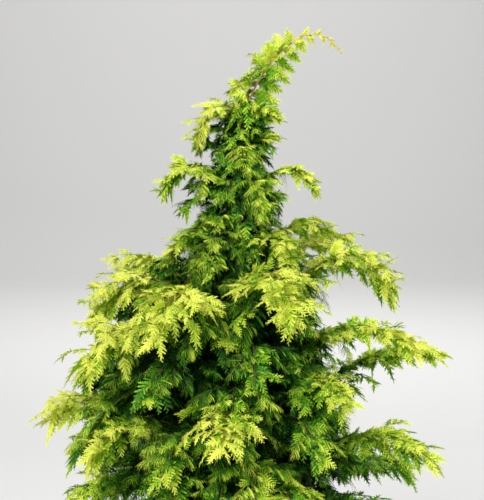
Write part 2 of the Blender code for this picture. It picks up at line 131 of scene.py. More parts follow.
def studio_sheet():
    """Straight along the floor, then a quarter circle, then straight up, the same all across."""
    bend = np.linspace(0, math.pi / 2, SWEEP_STEPS)
    wall = SHEET_BACK + SHEET_SWEEP
    depth = np.concatenate([[SHEET_FRONT], SHEET_BACK + SHEET_SWEEP * np.sin(bend), [wall]])
    height = np.concatenate([[0.0], SHEET_SWEEP * (1 - np.cos(bend)), [SHEET_HEIGHT]])
    across = np.linspace(-SHEET_HALF_WIDTH, SHEET_HALF_WIDTH, 3)
    points = np.stack(np.broadcast_arrays(across, depth[:, None], height[:, None]), axis=2)
    return points.reshape(-1, 3), grid_faces(len(depth), len(across))


sheet_material = new_material("studio_paper", SHEET_COLOUR, SHEET_ROUGHNESS)[0]
sheet_points, sheet_quads = studio_sheet()
sheet = new_piece("studio_sheet", sheet_points, [sheet_quads], [sheet_material], smooth=True)

for lamp_name, lamp_place, lamp_aim, lamp_size, lamp_power in LAMPS:
    lamp = bpy.data.lights.new(lamp_name, "AREA")
    lamp.size = lamp_size
    lamp.energy = lamp_power
    lamp_stand = bpy.data.objects.new(lamp_name, lamp)
    beam = np.subtract(lamp_aim, lamp_place)
    yaw = math.atan2(-beam[0], beam[1])
    lamp_stand.rotation_euler = (math.acos(-beam[2] / np.linalg.norm(beam)), 0, yaw)
    lamp_stand.location = lamp_place
    bpy.context.scene.collection.objects.link(lamp_stand)

sky = bpy.data.worlds.new("sky")
sky.use_nodes = True
sky.node_tree.nodes["Background"].inputs["Color"].default_value = (*SKY_COLOUR, 1.0)
sky.node_tree.nodes["Background"].inputs["Strength"].default_value = SKY_STRENGTH
bpy.context.scene.world = sky


# The pot is thrown clay, unglazed and fired to a warm red, with a plain thick band round its rim
# and holes in its floor. Its wall keeps faint rings from the wheel, and lime has bloomed on it.
_, (RIM_RADIUS, _, POT_HEIGHT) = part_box("pot")
BAND_PROUD = 0.009
BAND_HEIGHT = 0.050
WALL_TOP_RADIUS = RIM_RADIUS - BAND_PROUD
FOOT_RADIUS = 0.120
WALL = 0.013
FLOOR_THICKNESS = 0.016
CORNER = 0.004
DRAIN_HOLES = 4
DRAIN_HOLE_RADIUS = 0.011
DRAIN_RING_RADIUS = 0.068
POT_SIDES = 144
POT_STEP = 0.0028
AXIS_RADIUS = 0.002
WHEEL_RING_PITCH = 0.009
WHEEL_RING_DEPTH = 0.00025
WALL_WAVER = 0.0006
WAVER_LATTICE = (7, 5)
FLAT_WITHIN = DRAIN_RING_RADIUS + 0.03
WAVER_FADE = 0.02
BIT_SIDES = 24
SHARP_EDGE = math.radians(40)
CLAY = (0.46, 0.19, 0.10)
DARK_CLAY = (0.33, 0.125, 0.065)
MOTTLE_DETAIL = 5
MOTTLE_CONTRAST = (0.38, 0.64)
BUMP_STRENGTH = 0.6
LIME_BLOOM = (0.62, 0.47, 0.38)
BLOOM_SCALE = 14
BLOOM_DETAIL = 8
BLOOM_LOW_ON_WALL = 0.45
BLOOM_MORE_LOW = 0.16
BLOOM_FADE = (0.60, 0.80)
BLOOM_COVER = 0.55


def smooth_noise(chance, shape, row, column):
    """Random heights on a lattice that wraps round in its columns, read between its points with
    eased weights. Row runs from 0 to 1 over the lattice's rows, and column once round it."""
    lattice = chance.uniform(-1, 1, shape)
    at_row = np.clip(row, 0, 1) * (shape[0] - 1)
    at_column = (column % 1) * shape[1]
    low_row = np.minimum(at_row.astype(int), shape[0] - 2)
    low_column = at_column.astype(int) % shape[1]
    next_column = (low_column + 1) % shape[1]
    down = at_row - low_row
    over = at_column % 1
    down = down * down * (3 - 2 * down)
    over = over * over * (3 - 2 * over)
    near = lattice[low_row, low_column] * (1 - over) + lattice[low_row, next_column] * over
    far = lattice[low_row + 1, low_column] * (1 - over) + lattice[low_row + 1, next_column] * over
    return near * (1 - down) + far * down


def ring_faces(rings, sides, bodies=1):
    """The faces of bodies made of rings of points: quads from ring to ring, and one face at each end."""
    start = np.arange(bodies)[:, None, None] * rings * sides
    here = np.arange(sides)
    after = (here + 1) % sides
    low = start + np.arange(rings - 1)[None, :, None] * sides
    quads = np.stack([low + here, low + after, low + sides + after, low + sides + here], axis=3)
    first = start[:, :, 0] + here[::-1]
    last = start[:, :, 0] + (rings - 1) * sides + here
    return [quads.reshape(-1, 4), np.concatenate([first, last])]


def eased_outline(corners, ease, steps=4):
    """A line through the corners with each one cut back and bridged by a short curved stretch."""
    corners = np.array(corners, float)
    rows = [corners[:1]]
    share = np.linspace(0, 1, steps + 1)[:, None]
    for before, corner, after in zip(corners, corners[1:], corners[2:]):
        into = (before - corner) / np.linalg.norm(before - corner)
        out = (after - corner) / np.linalg.norm(after - corner)
        cut_in = corner + into * min(ease, np.linalg.norm(before - corner) / 2)
        cut_out = corner + out * min(ease, np.linalg.norm(after - corner) / 2)
        rows.append(cut_in * (1 - share) ** 2 + 2 * corner * share * (1 - share) + cut_out * share**2)
    rows.append(corners[-1:])
    return np.vstack(rows)


def finer(outline, step):
    """The same line with more points, no further apart than the step."""
    rows = [outline[:1]]
    for start, end in zip(outline, outline[1:]):
        count = max(1, math.ceil(np.linalg.norm(end - start) / step))
        rows.append(start + (end - start) * np.linspace(0, 1, count + 1)[1:, None])
    return np.vstack(rows)


def pot_wall_radius(height):
    """From the foot's radius to the wall's at the rim, evenly with the height."""
    return FOOT_RADIUS + (WALL_TOP_RADIUS - FOOT_RADIUS) * height / POT_HEIGHT


def pot_inner_radius(height):
    """The inside's radius, a wall's thickness less, evenly with the height above the pot's floor."""
    foot = FOOT_RADIUS - WALL
    rim = WALL_TOP_RADIUS - WALL
    return foot + (rim - foot) * (height - FLOOR_THICKNESS) / (POT_HEIGHT - FLOOR_THICKNESS)


def turned(radius, turn, height):
    """Points at a radius and a height, carried round by shares of a turn."""
    angle = 2 * math.pi * turn
    points = np.broadcast_arrays(radius * np.cos(angle), radius * np.sin(angle), height)
    return np.stack(points, axis=2).reshape(-1, 3)


def turned_pot():
    """The pot's profile from the middle of its foot, up its outer side, over the rim and down the
    inside to the middle of its floor, carried round. Its radius wavers, and its wall has rings."""
    band_foot = POT_HEIGHT - BAND_HEIGHT
    profile = eased_outline(
        (
            (AXIS_RADIUS, 0.0),
            (FOOT_RADIUS, 0.0),
            (pot_wall_radius(band_foot), band_foot),
            (RIM_RADIUS - CORNER, band_foot),
            (RIM_RADIUS, POT_HEIGHT),
            (pot_inner_radius(POT_HEIGHT), POT_HEIGHT),
            (pot_inner_radius(FLOOR_THICKNESS), FLOOR_THICKNESS),
            (AXIS_RADIUS, FLOOR_THICKNESS),
        ),
        CORNER,
    )
    profile = finer(profile, POT_STEP)
    radius, height = profile[:, :1], profile[:, 1:]
    turn = np.linspace(0, 1, POT_SIDES, endpoint=False)
    chance = np.random.default_rng(3)
    waver = smooth_noise(chance, WAVER_LATTICE, height / POT_HEIGHT + 0 * turn, turn + 0 * height)
    wheel = np.sin(2 * math.pi * height / WHEEL_RING_PITCH + 2 * waver) * WHEEL_RING_DEPTH
    upright = np.clip((radius - FLAT_WITHIN) / WAVER_FADE, 0, 1)
    upright = upright * (height > CORNER) * (height < POT_HEIGHT - CORNER)
    radius = radius + (waver * WALL_WAVER - WALL_WAVER + wheel) * upright
    return turned(radius, turn, height), ring_faces(len(profile), POT_SIDES)


def drill(piece, places, radius, depth):
    """Round holes cut through the piece at places on the floor under it."""
    angle = np.linspace(0, 2 * math.pi, BIT_SIDES, endpoint=False)
    ring = np.stack([radius * np.cos(angle), radius * np.sin(angle), 0 * angle - depth], axis=1)
    for place in places:
        both = np.concatenate([ring + (*place, 0), ring + (*place, 2 * depth)])
        bit = new_piece("drill", both, ring_faces(2, BIT_SIDES), [])
        cut = piece.modifiers.new("hole", "BOOLEAN")
        cut.operation = "DIFFERENCE"
        cut.object = bit
        drilled = piece.evaluated_get(bpy.context.evaluated_depsgraph_get())
        piece.data = bpy.data.meshes.new_from_object(drilled)
        piece.modifiers.clear()
        bpy.data.objects.remove(bit)


def mottle_group():
    """Noise in two sizes. The coarse one blends two colours, and both together raise the surface."""
    group = bpy.data.node_groups.new("mottle", "ShaderNodeTree")
    for name, kind in (
        ("Colour", "NodeSocketColor"),
        ("Second Colour", "NodeSocketColor"),
        ("Coarse Scale", "NodeSocketFloat"),
        ("Fine Scale", "NodeSocketFloat"),
        ("Stretch", "NodeSocketVector"),
    ):
        group.interface.new_socket(name=name, in_out="INPUT", socket_type=kind)
    group.interface.new_socket(name="Colour", in_out="OUTPUT", socket_type="NodeSocketColor")
    group.interface.new_socket(name="Height", in_out="OUTPUT", socket_type="NodeSocketFloat")
    nodes, links = group.nodes, group.links
    given = nodes.new("NodeGroupInput")
    place = nodes.new("ShaderNodeTexCoord")
    stretch = nodes.new("ShaderNodeVectorMath")
    stretch.operation = "MULTIPLY"
    links.new(place.outputs["Object"], stretch.inputs[0])
    links.new(given.outputs["Stretch"], stretch.inputs[1])
    noises = []
    for scale in ("Coarse Scale", "Fine Scale"):
        noise = nodes.new("ShaderNodeTexNoise")
        noise.inputs["Detail"].default_value = MOTTLE_DETAIL
        links.new(stretch.outputs[0], noise.inputs["Vector"])
        links.new(given.outputs[scale], noise.inputs["Scale"])
        noises.append(noise)
    contrast = nodes.new("ShaderNodeMapRange")
    contrast.inputs["From Min"].default_value = MOTTLE_CONTRAST[0]
    contrast.inputs["From Max"].default_value = MOTTLE_CONTRAST[1]
    links.new(noises[0].outputs["Fac"], contrast.inputs["Value"])
    blend = nodes.new("ShaderNodeMix")
    blend.data_type = "RGBA"
    links.new(contrast.outputs["Result"], blend.inputs["Factor"])
    links.new(given.outputs["Colour"], blend.inputs["A"])
    links.new(given.outputs["Second Colour"], blend.inputs["B"])
    height = nodes.new("ShaderNodeMath")
    height.operation = "ADD"
    links.new(noises[0].outputs["Fac"], height.inputs[0])
    links.new(noises[1].outputs["Fac"], height.inputs[1])
    made = nodes.new("NodeGroupOutput")
    links.new(blend.outputs["Result"], made.inputs["Colour"])
    links.new(height.outputs[0], made.inputs["Height"])
    return group


MOTTLE = mottle_group()


def mottled_material(name, colour, second, coarse, fine, stretch, roughness, relief):
    """A rough natural surface: two colours blended by noise, and a bump from the same noise."""
    material, nodes, links, shader = new_material(name, colour, roughness)
    mottle = nodes.new("ShaderNodeGroup")
    mottle.node_tree = MOTTLE
    mottle.inputs["Colour"].default_value = (*colour, 1.0)
    mottle.inputs["Second Colour"].default_value = (*second, 1.0)
    mottle.inputs["Coarse Scale"].default_value = coarse
    mottle.inputs["Fine Scale"].default_value = fine
    mottle.inputs["Stretch"].default_value = stretch
    bump = nodes.new("ShaderNodeBump")
    bump.inputs["Strength"].default_value = BUMP_STRENGTH
    bump.inputs["Distance"].default_value = relief
    links.new(mottle.outputs["Height"], bump.inputs["Height"])
    links.new(mottle.outputs["Colour"], shader.inputs["Base Color"])
    links.new(bump.outputs["Normal"], shader.inputs["Normal"])
    return material, nodes, links, shader, mottle


def clay_material():
    """Mottled clay, with lime bloomed in patches of noise that reach furthest low on the wall."""
    material, nodes, links, shader, mottle = mottled_material(
        "clay", CLAY, DARK_CLAY, coarse=9, fine=160, stretch=(1, 1, 1.6), roughness=0.88, relief=0.0008
    )
    place = nodes.new("ShaderNodeTexCoord")
    patch = nodes.new("ShaderNodeTexNoise")
    patch.inputs["Scale"].default_value = BLOOM_SCALE
    patch.inputs["Detail"].default_value = BLOOM_DETAIL
    links.new(place.outputs["Object"], patch.inputs["Vector"])
    height = nodes.new("ShaderNodeSeparateXYZ")
    links.new(place.outputs["Object"], height.inputs["Vector"])
    low = nodes.new("ShaderNodeMapRange")
    low.inputs["From Min"].default_value = POT_HEIGHT * BLOOM_LOW_ON_WALL
    low.inputs["From Max"].default_value = 0.0
    low.inputs["To Min"].default_value = 0.0
    low.inputs["To Max"].default_value = BLOOM_MORE_LOW
    links.new(height.outputs["Z"], low.inputs["Value"])
    sum_up = nodes.new("ShaderNodeMath")
    sum_up.operation = "ADD"
    links.new(patch.outputs["Fac"], sum_up.inputs[0])
    links.new(low.outputs["Result"], sum_up.inputs[1])
    bloom = nodes.new("ShaderNodeMapRange")
    bloom.inputs["From Min"].default_value = BLOOM_FADE[0]
    bloom.inputs["From Max"].default_value = BLOOM_FADE[1]
    bloom.inputs["To Max"].default_value = BLOOM_COVER
    links.new(sum_up.outputs[0], bloom.inputs["Value"])
    blend = nodes.new("ShaderNodeMix")
    blend.data_type = "RGBA"
    blend.inputs["B"].default_value = (*LIME_BLOOM, 1.0)
    links.new(bloom.outputs["Result"], blend.inputs["Factor"])
    links.new(mottle.outputs["Colour"], blend.inputs["A"])
    links.new(blend.outputs["Result"], shader.inputs["Base Color"])
    return material


pot_points, pot_faces = turned_pot()
pot = new_piece("clay_pot", pot_points, pot_faces, [clay_material()], smooth=True)
hole_angles = 2 * math.pi * (np.arange(DRAIN_HOLES) + 0.5) / DRAIN_HOLES
drill(
    pot,
    DRAIN_RING_RADIUS * np.stack([np.cos(hole_angles), np.sin(hole_angles)], axis=1),
    DRAIN_HOLE_RADIUS,
    2 * FLOOR_THICKNESS,
)
pot.data.set_sharp_from_angle(angle=SHARP_EDGE)
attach(pot, "root")
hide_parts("pot")


# The soil is a damp bark mix, poured round the roots and pressed down by hand. It fills the pot to
# 30 mm below its rim, a little lumpy on top, and chips of bark lie loose on it.
_, (_, _, SOIL_HEIGHT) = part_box("soil")
SEAT_GAP = 0.0003
SOIL_TOP = SOIL_HEIGHT + SEAT_GAP
SOIL_SIDES = 96
SOIL_WALL_RINGS = 8
SOIL_TOP_RINGS = 40
SOIL_EDGE_WIDTH = 0.002
SOIL_EDGE_BELOW = 0.004
SOIL_TOP_BELOW = 0.0025
SOIL_LUMP = 0.0022
LUMP_LATTICE = (14, 30)
SOIL_GAP = 0.0008
DAMP_MIX = (0.045, 0.028, 0.018)
DRY_MIX = (0.10, 0.060, 0.035)
CHIP_COUNT = 1100
CHIP_LENGTHS = (0.003, 0.010)
CHIP_WIDTH_SHARES = (0.35, 0.7)
CHIP_THICKNESSES = (0.0008, 0.0020)
CHIP_HEIGHTS = (-0.001, 0.003)
CHIP_SUNK = 0.0015
CHIP_FROM_WALL = 0.010
CHIP_INNERMOST = 0.012
CHIP_SLOPE = 0.22
CHIP_TIP = 0.25
CHIP_OUTLINE = ((-1, -0.6), (-0.4, -1), (0.9, -0.8), (1, 0.5), (0.2, 1), (-0.9, 0.7))
CHIP_OUTLINE_SPREAD = (0.75, 1.1)
CHIP_ROUGHNESS = 0.9
CHIP_COLOURS = (
    (0.085, 0.045, 0.025),
    (0.135, 0.070, 0.036),
    (0.050, 0.030, 0.020),
    (0.190, 0.110, 0.060),
)


def soil_body():
    """A profile from the middle of the pot's floor, up beside its wall and in over the top,
    carried round. Its top is raised and lowered by noise, and its edge at the wall stays even."""
    floor = FLOOR_THICKNESS + SOIL_GAP
    side = np.linspace(0, 1, SOIL_WALL_RINGS)[:, None] * (SOIL_TOP - SOIL_EDGE_BELOW - floor) + floor
    outer = np.column_stack([pot_inner_radius(side) - SOIL_GAP, side])
    top_radius = np.linspace(outer[-1, 0] - SOIL_EDGE_WIDTH, AXIS_RADIUS, SOIL_TOP_RINGS)
    top = np.column_stack([top_radius, np.full(SOIL_TOP_RINGS, SOIL_TOP - SOIL_TOP_BELOW)])
    profile = np.vstack([[(AXIS_RADIUS, floor)], outer, top])
    radius, height = profile[:, :1], profile[:, 1:]
    turn = np.linspace(0, 1, SOIL_SIDES, endpoint=False)
    chance = np.random.default_rng(5)
    lumps = smooth_noise(chance, LUMP_LATTICE, radius / outer[-1, 0] + 0 * turn, turn + 0 * radius)
    on_top = (np.arange(len(profile)) > len(outer)).astype(float)[:, None]
    height = height + on_top * lumps * SOIL_LUMP
    return turned(radius, turn, height), ring_faces(len(profile), SOIL_SIDES)


def unit(vectors):
    """Each vector over its own length."""
    return vectors / np.linalg.norm(vectors, axis=-1, keepdims=True)


def bark_chips():
    """Six-sided slabs, each turned and tipped by chance, scattered evenly over the soil."""
    chance = np.random.default_rng(8)
    count, corners = CHIP_COUNT, len(CHIP_OUTLINE)
    radius = np.sqrt(chance.uniform(CHIP_INNERMOST, 1, count)) * (pot_inner_radius(SOIL_TOP) - CHIP_FROM_WALL)
    turn = chance.uniform(0, 2 * math.pi, count)
    height = SOIL_TOP - CHIP_SUNK + chance.uniform(*CHIP_HEIGHTS, count)
    middle = np.column_stack([radius * np.cos(turn), radius * np.sin(turn), height])
    yaw = chance.uniform(0, 2 * math.pi, count)
    long_way = unit(np.column_stack([np.cos(yaw), np.sin(yaw), chance.normal(0, CHIP_SLOPE, count)]))
    tipped = UP + chance.normal(0, CHIP_TIP, (count, 3))
    wide_way = unit(np.cross(tipped, long_way))
    thick_way = np.cross(long_way, wide_way)[:, None]
    length = chance.uniform(*CHIP_LENGTHS, count)[:, None, None]
    width = chance.uniform(*CHIP_WIDTH_SHARES, count)[:, None, None] * length
    thickness = chance.uniform(*CHIP_THICKNESSES, count)[:, None, None]
    shape = np.array(CHIP_OUTLINE) * chance.uniform(*CHIP_OUTLINE_SPREAD, (count, corners, 1))
    flat = long_way[:, None] * shape[:, :, :1] * length + wide_way[:, None] * shape[:, :, 1:] * width
    rings = np.stack([flat - thick_way * thickness, flat + thick_way * thickness], axis=1)
    points = rings + middle[:, None, None]
    shade = chance.integers(0, len(CHIP_COLOURS), count)
    slots = np.concatenate([np.repeat(shade, corners), shade, shade])
    return points.reshape(-1, 3), ring_faces(2, corners, count), slots


soil_material = mottled_material(
    "potting_mix", DAMP_MIX, DRY_MIX, coarse=130, fine=700, stretch=(1, 1, 1), roughness=0.95, relief=0.002
)[0]
soil_points, soil_faces = soil_body()
soil = new_piece("potting_mix", soil_points, soil_faces, [soil_material], smooth=True)
chip_points, chip_faces, chip_slots = bark_chips()
chip_materials = [
    new_material(f"bark_chip_{i + 1}", colour, CHIP_ROUGHNESS)[0] for i, colour in enumerate(CHIP_COLOURS)
]
chips = new_piece("bark_chips", chip_points, chip_faces, chip_materials, chip_slots)
for piece in (soil, chips):
    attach(piece, "root")
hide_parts("soil")


# The trunk runs whole from the soil to the leader, which arches over to the right at its end. Its
# bark is fibrous and red-brown, and it splits into long upright strips that flare at the foot.
TRUNK_ROUTE = (
    (0.000, 0.000, 0.000),
    (0.000, 0.000, 0.030),
    (0.006, 0.002, 0.150),
    (-0.004, 0.004, 0.350),
    (-0.006, 0.000, 0.580),
    (0.000, -0.002, 0.740),
    (0.007, 0.000, 0.815),
    (0.025, 0.000, 0.862),
    (0.056, 0.000, 0.908),
    (0.088, 0.000, 0.937),
)
PLUME_ROUTE = (
    (0.088, 0.000, 0.937),
    (0.112, -0.002, 0.951),
    (0.140, -0.005, 0.951),
    (0.163, -0.008, 0.936),
    (0.180, -0.010, 0.914),
)
ROUTE_STEPS = 16
TRUNK_FOOT_RADIUS = 0.0165
TRUNK_TIP_RADIUS = 0.0011
TRUNK_TAPER = 1.5
ROOT_FLARE = 0.010
FLARE_HEIGHT = 0.022
FOOT_SUNK = 0.003
FLARE_LOBES = ((0.35, 5, 0.2), (0.15, 3, 0.0))
TRUNK_RINGS = 220
TRUNK_SIDES = 60
BARK_RELIEF = 0.10
STRIP_LATTICE = (24, 17)
FLAKE_LATTICE = (90, 30)
STRIP_SHARE = 0.7
FLAKE_SHARE = 0.5
BARK_TWIST = 0.25
BARK = (0.13, 0.058, 0.030)
PALE_BARK = (0.27, 0.15, 0.090)
YOUNG_BARK = (0.50, 0.21, 0.065)
YOUNG_BARK_FROM = 0.84
YOUNG_BARK_ROUGHNESS = 0.75


def distances_along(points):
    """How far along a path each of its points lies."""
    steps = np.linalg.norm(np.diff(points, axis=0), axis=1)
    return np.concatenate([[0], np.cumsum(steps)])


def read_along(points, share):
    """Points on a path at shares of its length."""
    along = distances_along(points)
    return np.stack([np.interp(share * along[-1], along, points[:, k]) for k in range(3)], axis=-1)


def smooth_route(route):
    """A Catmull-Rom curve through the route's points, set on the soil."""
    knots = np.array(route, float)
    knots = np.vstack([2 * knots[0] - knots[1], knots, 2 * knots[-1] - knots[-2]])
    share = np.linspace(0, 1, ROUTE_STEPS, endpoint=False)[:, None]
    pieces = []
    for before, start, end, after in zip(knots, knots[1:], knots[2:], knots[3:]):
        square_term = 2 * before - 5 * start + 4 * end - after
        cube_term = 3 * start - before - 3 * end + after
        doubled = 2 * start + (end - before) * share + square_term * share**2 + cube_term * share**3
        pieces.append(doubled / 2)
    return np.vstack([*pieces, knots[-2]]) + UP * SOIL_TOP


def trunk_skin():
    """Rings round the trunk's middle line. The radius tapers, flares in lobes at the foot, and is
    broken by noise that is drawn out along the trunk into strips of bark."""
    share = np.linspace(0, 1, TRUNK_RINGS)[:, None]
    middle = read_along(TRUNK, share[:, 0])
    along = unit(np.gradient(middle, axis=0))
    first = unit(np.cross((0.0, 1.0, 0.0), along))
    second = np.cross(along, first)
    turn = np.linspace(0, 1, TRUNK_SIDES, endpoint=False)
    chance = np.random.default_rng(11)
    strips = smooth_noise(chance, STRIP_LATTICE, share + 0 * turn, turn + BARK_TWIST * share)
    flakes = smooth_noise(chance, FLAKE_LATTICE, share + 0 * turn, turn + BARK_TWIST * share)
    taper = TRUNK_TIP_RADIUS + (TRUNK_FOOT_RADIUS - TRUNK_TIP_RADIUS) * (1 - share) ** TRUNK_TAPER
    above = middle[:, 2:] - SOIL_TOP
    lobes = [size * np.cos(2 * math.pi * (number * turn + start)) for size, number, start in FLARE_LOBES]
    flare = ROOT_FLARE * np.exp(-above / FLARE_HEIGHT) * (1 + sum(lobes))
    relief = 1 + BARK_RELIEF * (STRIP_SHARE * strips + FLAKE_SHARE * np.abs(flakes))
    radius = (taper * relief + flare)[:, :, None]
    angle = 2 * math.pi * turn[None, :, None]
    around = np.cos(angle) * first[:, None] + np.sin(angle) * second[:, None]
    points = middle[:, None] + radius * around
    points[0, :, 2] = SOIL_TOP - FOOT_SUNK
    return points.reshape(-1, 3), ring_faces(TRUNK_RINGS, TRUNK_SIDES)


TRUNK = smooth_route(TRUNK_ROUTE)
bark_material = mottled_material(
    "bark", BARK, PALE_BARK, coarse=60, fine=420, stretch=(1, 1, 0.16), roughness=0.85, relief=0.0012
)[0]
young_bark = new_material("young_bark", YOUNG_BARK, YOUNG_BARK_ROUGHNESS)[0]
trunk_points, trunk_faces = trunk_skin()
trunk_slots = np.repeat(np.arange(TRUNK_RINGS - 1) > YOUNG_BARK_FROM * TRUNK_RINGS, TRUNK_SIDES)
trunk_slots = np.concatenate([trunk_slots, [0, 1]])
trunk_materials = [bark_material, young_bark]
trunk = new_piece("bark_trunk", trunk_points, trunk_faces, trunk_materials, trunk_slots, smooth=True)
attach(trunk, "root")
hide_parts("trunk")


# The boughs climb away from the trunk and arch over under their own weight, in tiers that widen
# downwards. Root is a bough's height on the trunk above the soil, and bearing the way it points. The
# inner and filling ones are smaller boughs between the tiers, where the crown would show light.
Bough = namedtuple("Bough", "name root bearing reach climb drop")
BOUGHS = (
    Bough("crest_left", 0.888, 165, 0.034, 0.045, 0.014),
    Bough("crest_right", 0.878, -14, 0.044, 0.010, 0.026),
    Bough("top_left", 0.800, 190, 0.080, 0.078, 0.140),
    Bough("top_right", 0.812, -18, 0.066, 0.016, 0.036),
    Bough("top_back", 0.785, 84, 0.088, 0.060, 0.110),
    Bough("neck_right", 0.735, -14, 0.076, 0.070, 0.042),
    Bough("neck_front", 0.742, 256, 0.066, 0.035, 0.075),
    Bough("upper_left", 0.672, 181, 0.140, 0.112, 0.132),
    Bough("upper_right", 0.668, -6, 0.142, 0.104, 0.110),
    Bough("upper_front", 0.680, 282, 0.106, 0.050, 0.105),
    Bough("upper_back", 0.675, 96, 0.132, 0.085, 0.125),
    Bough("column_left", 0.622, 204, 0.082, 0.030, 0.070),
    Bough("column_right", 0.608, 336, 0.078, 0.035, 0.080),
    Bough("waist_left", 0.530, 190, 0.132, 0.125, 0.100),
    Bough("waist_right", 0.530, 20, 0.186, 0.160, 0.108),
    Bough("waist_front", 0.585, 240, 0.120, 0.060, 0.130),
    Bough("waist_front_right", 0.565, 312, 0.140, 0.085, 0.120),
    Bough("waist_back", 0.540, 118, 0.175, 0.130, 0.110),
    Bough("lower_front_right", 0.250, 308, 0.295, 0.210, 0.135),
    Bough("lower_front_left", 0.165, 214, 0.345, 0.240, 0.195),
    Bough("lower_front", 0.175, 264, 0.325, 0.270, 0.165),
    Bough("low_right", 0.150, -24, 0.366, 0.185, 0.122),
    Bough("skirt_left", 0.080, 196, 0.330, 0.150, 0.125),
    Bough("skirt_front_left", 0.080, 240, 0.315, 0.150, 0.135),
    Bough("skirt_front", 0.100, 290, 0.330, 0.170, 0.140),
    Bough("skirt_front_right", 0.075, 326, 0.325, 0.120, 0.105),
    Bough("skirt_right", 0.090, 12, 0.345, 0.130, 0.110),
    Bough("skirt_back_right", 0.080, 54, 0.335, 0.140, 0.125),
    Bough("skirt_back", 0.095, 94, 0.320, 0.140, 0.135),
    Bough("skirt_back_left", 0.080, 144, 0.335, 0.150, 0.130),
    Bough("middle_right", 0.400, -3, 0.292, 0.320, 0.255),
    Bough("middle_right_back", 0.420, 46, 0.310, 0.280, 0.165),
    Bough("middle_back", 0.395, 92, 0.290, 0.270, 0.210),
    Bough("middle_left_back", 0.386, 148, 0.290, 0.276, 0.175),
    Bough("middle_left", 0.352, 184, 0.272, 0.338, 0.272),
    Bough("middle_left_front", 0.322, 211, 0.338, 0.255, 0.207),
    Bough("middle_front_left", 0.365, 243, 0.288, 0.300, 0.235),
    Bough("middle_front", 0.395, 288, 0.275, 0.300, 0.235),
    Bough("middle_right_front", 0.350, -20, 0.335, 0.165, 0.120),
    Bough("lower_right", 0.228, 4, 0.388, 0.248, 0.118),
    Bough("lower_back_right", 0.240, 68, 0.330, 0.220, 0.140),
    Bough("lower_back_left", 0.225, 118, 0.335, 0.230, 0.150),
    Bough("lower_left", 0.135, 180, 0.386, 0.285, 0.188),
)
INNER_BOUGHS = 56
INNER_HEIGHTS = (0.10, 0.66)
INNER_REACH_AT = ((0.10, 0.25, 0.40, 0.55, 0.66), (0.30, 0.285, 0.215, 0.120, 0.082))
FILLING_BOUGHS = (
    (0.265, 178, 0.285),
    (0.250, 192, 0.270),
    (0.200, 206, 0.280),
    (0.655, 172, 0.095),
    (0.690, 192, 0.070),
    (0.795, 176, 0.060),
    (0.640, -10, 0.085),
    (0.130, 236, 0.270),
    (0.110, 255, 0.260),
    (0.100, 200, 0.250),
    (0.105, 221, 0.240),
    (0.765, 190, 0.070),
    (0.735, 172, 0.075),
)
INNER_OPEN = 0.35
INNER_CLOSED = -0.12
INNER_CLIMB = 0.72
INNER_DROP = 0.62
GOLDEN_TURN = 180 * (3 - math.sqrt(5))
DROOP_POWER = 4
SIDE_SWEEP = 0.030
SWEEP_BY_BEARING = 3.1
SWEEP_BY_HEIGHT = 9.0
CURVE_STEPS = 64
BOUGH_RINGS = 24
BOUGH_SIDES = 8
BOUGH_ROOT_RADIUS = 0.0042
BOUGH_THINNING = 1.3
LEAST_BOUGH_RADIUS = 0.0010
BOUGH_TIP_RADIUS = 0.0005
PLUME_TIP_RADIUS = 0.0010
BOUGH_TAPER = 1.60
BOUGH_END = 0.95
INNER_THINNER = 0.6
KNOT_SPREAD = 0.05
TWIGGY_FROM = 0.25
TWIGGY_BARK = (0.46, 0.30, 0.06)
PLUME_BARK = (0.80, 0.50, 0.10)
TWIG_ROUGHNESS = 0.7
BARE_SLOT, TWIGGY_SLOT, PLUME_SLOT = 0, 1, 2
FULL_REACH = 0.30


def share_of_full(least, length):
    """From the least share up to 1, which a bough of full reach has."""
    return least + (1 - least) * min(1.0, length / FULL_REACH)


def bough_curve(bough):
    """The bough's middle line: straight out, swept a little aside with the square of the way
    along it, climbing evenly and pulled down by the fourth power of the way along it."""
    root_height = SOIL_TOP + bough.root
    root = np.array([np.interp(root_height, TRUNK[:, 2], TRUNK[:, k]) for k in range(3)])
    bearing = math.radians(bough.bearing)
    out = np.array((math.cos(bearing), math.sin(bearing), 0.0))
    sweep = SIDE_SWEEP * math.sin(SWEEP_BY_BEARING * bearing + SWEEP_BY_HEIGHT * bough.root)
    aside = np.cross(UP, out) * sweep
    share = np.linspace(0, 1, CURVE_STEPS + 1)[:, None]
    height = bough.climb * share - bough.drop * share**DROOP_POWER
    curve = root + bough.reach * out * share + aside * share**2 + UP * height
    return read_along(curve, share[:, 0])


def bough_skin(curves, root_radii, tip_radii):
    """Rings round each bough's middle line, thinning towards its tip, with noise in the radius."""
    share = np.linspace(0, 1, BOUGH_RINGS)
    middle = np.stack([read_along(curve, BOUGH_END * share) for curve in curves])
    along = unit(np.gradient(middle, axis=1))
    first = unit(np.cross(along, UP + 0 * along))
    second = np.cross(along, first)
    chance = np.random.default_rng(13)
    knots = chance.normal(0, KNOT_SPREAD, (len(curves), BOUGH_RINGS, BOUGH_SIDES))
    radius = root_radii[:, None] * (1 - share) ** BOUGH_TAPER + tip_radii[:, None] * share
    radius = (radius[:, :, None] * (1 + knots))[..., None]
    angle = np.linspace(0, 2 * math.pi, BOUGH_SIDES, endpoint=False)[:, None]
    around = np.cos(angle) * first[:, :, None] + np.sin(angle) * second[:, :, None]
    points = middle[:, :, None] + radius * around
    return points.reshape(-1, 3), ring_faces(BOUGH_RINGS, BOUGH_SIDES, len(curves))


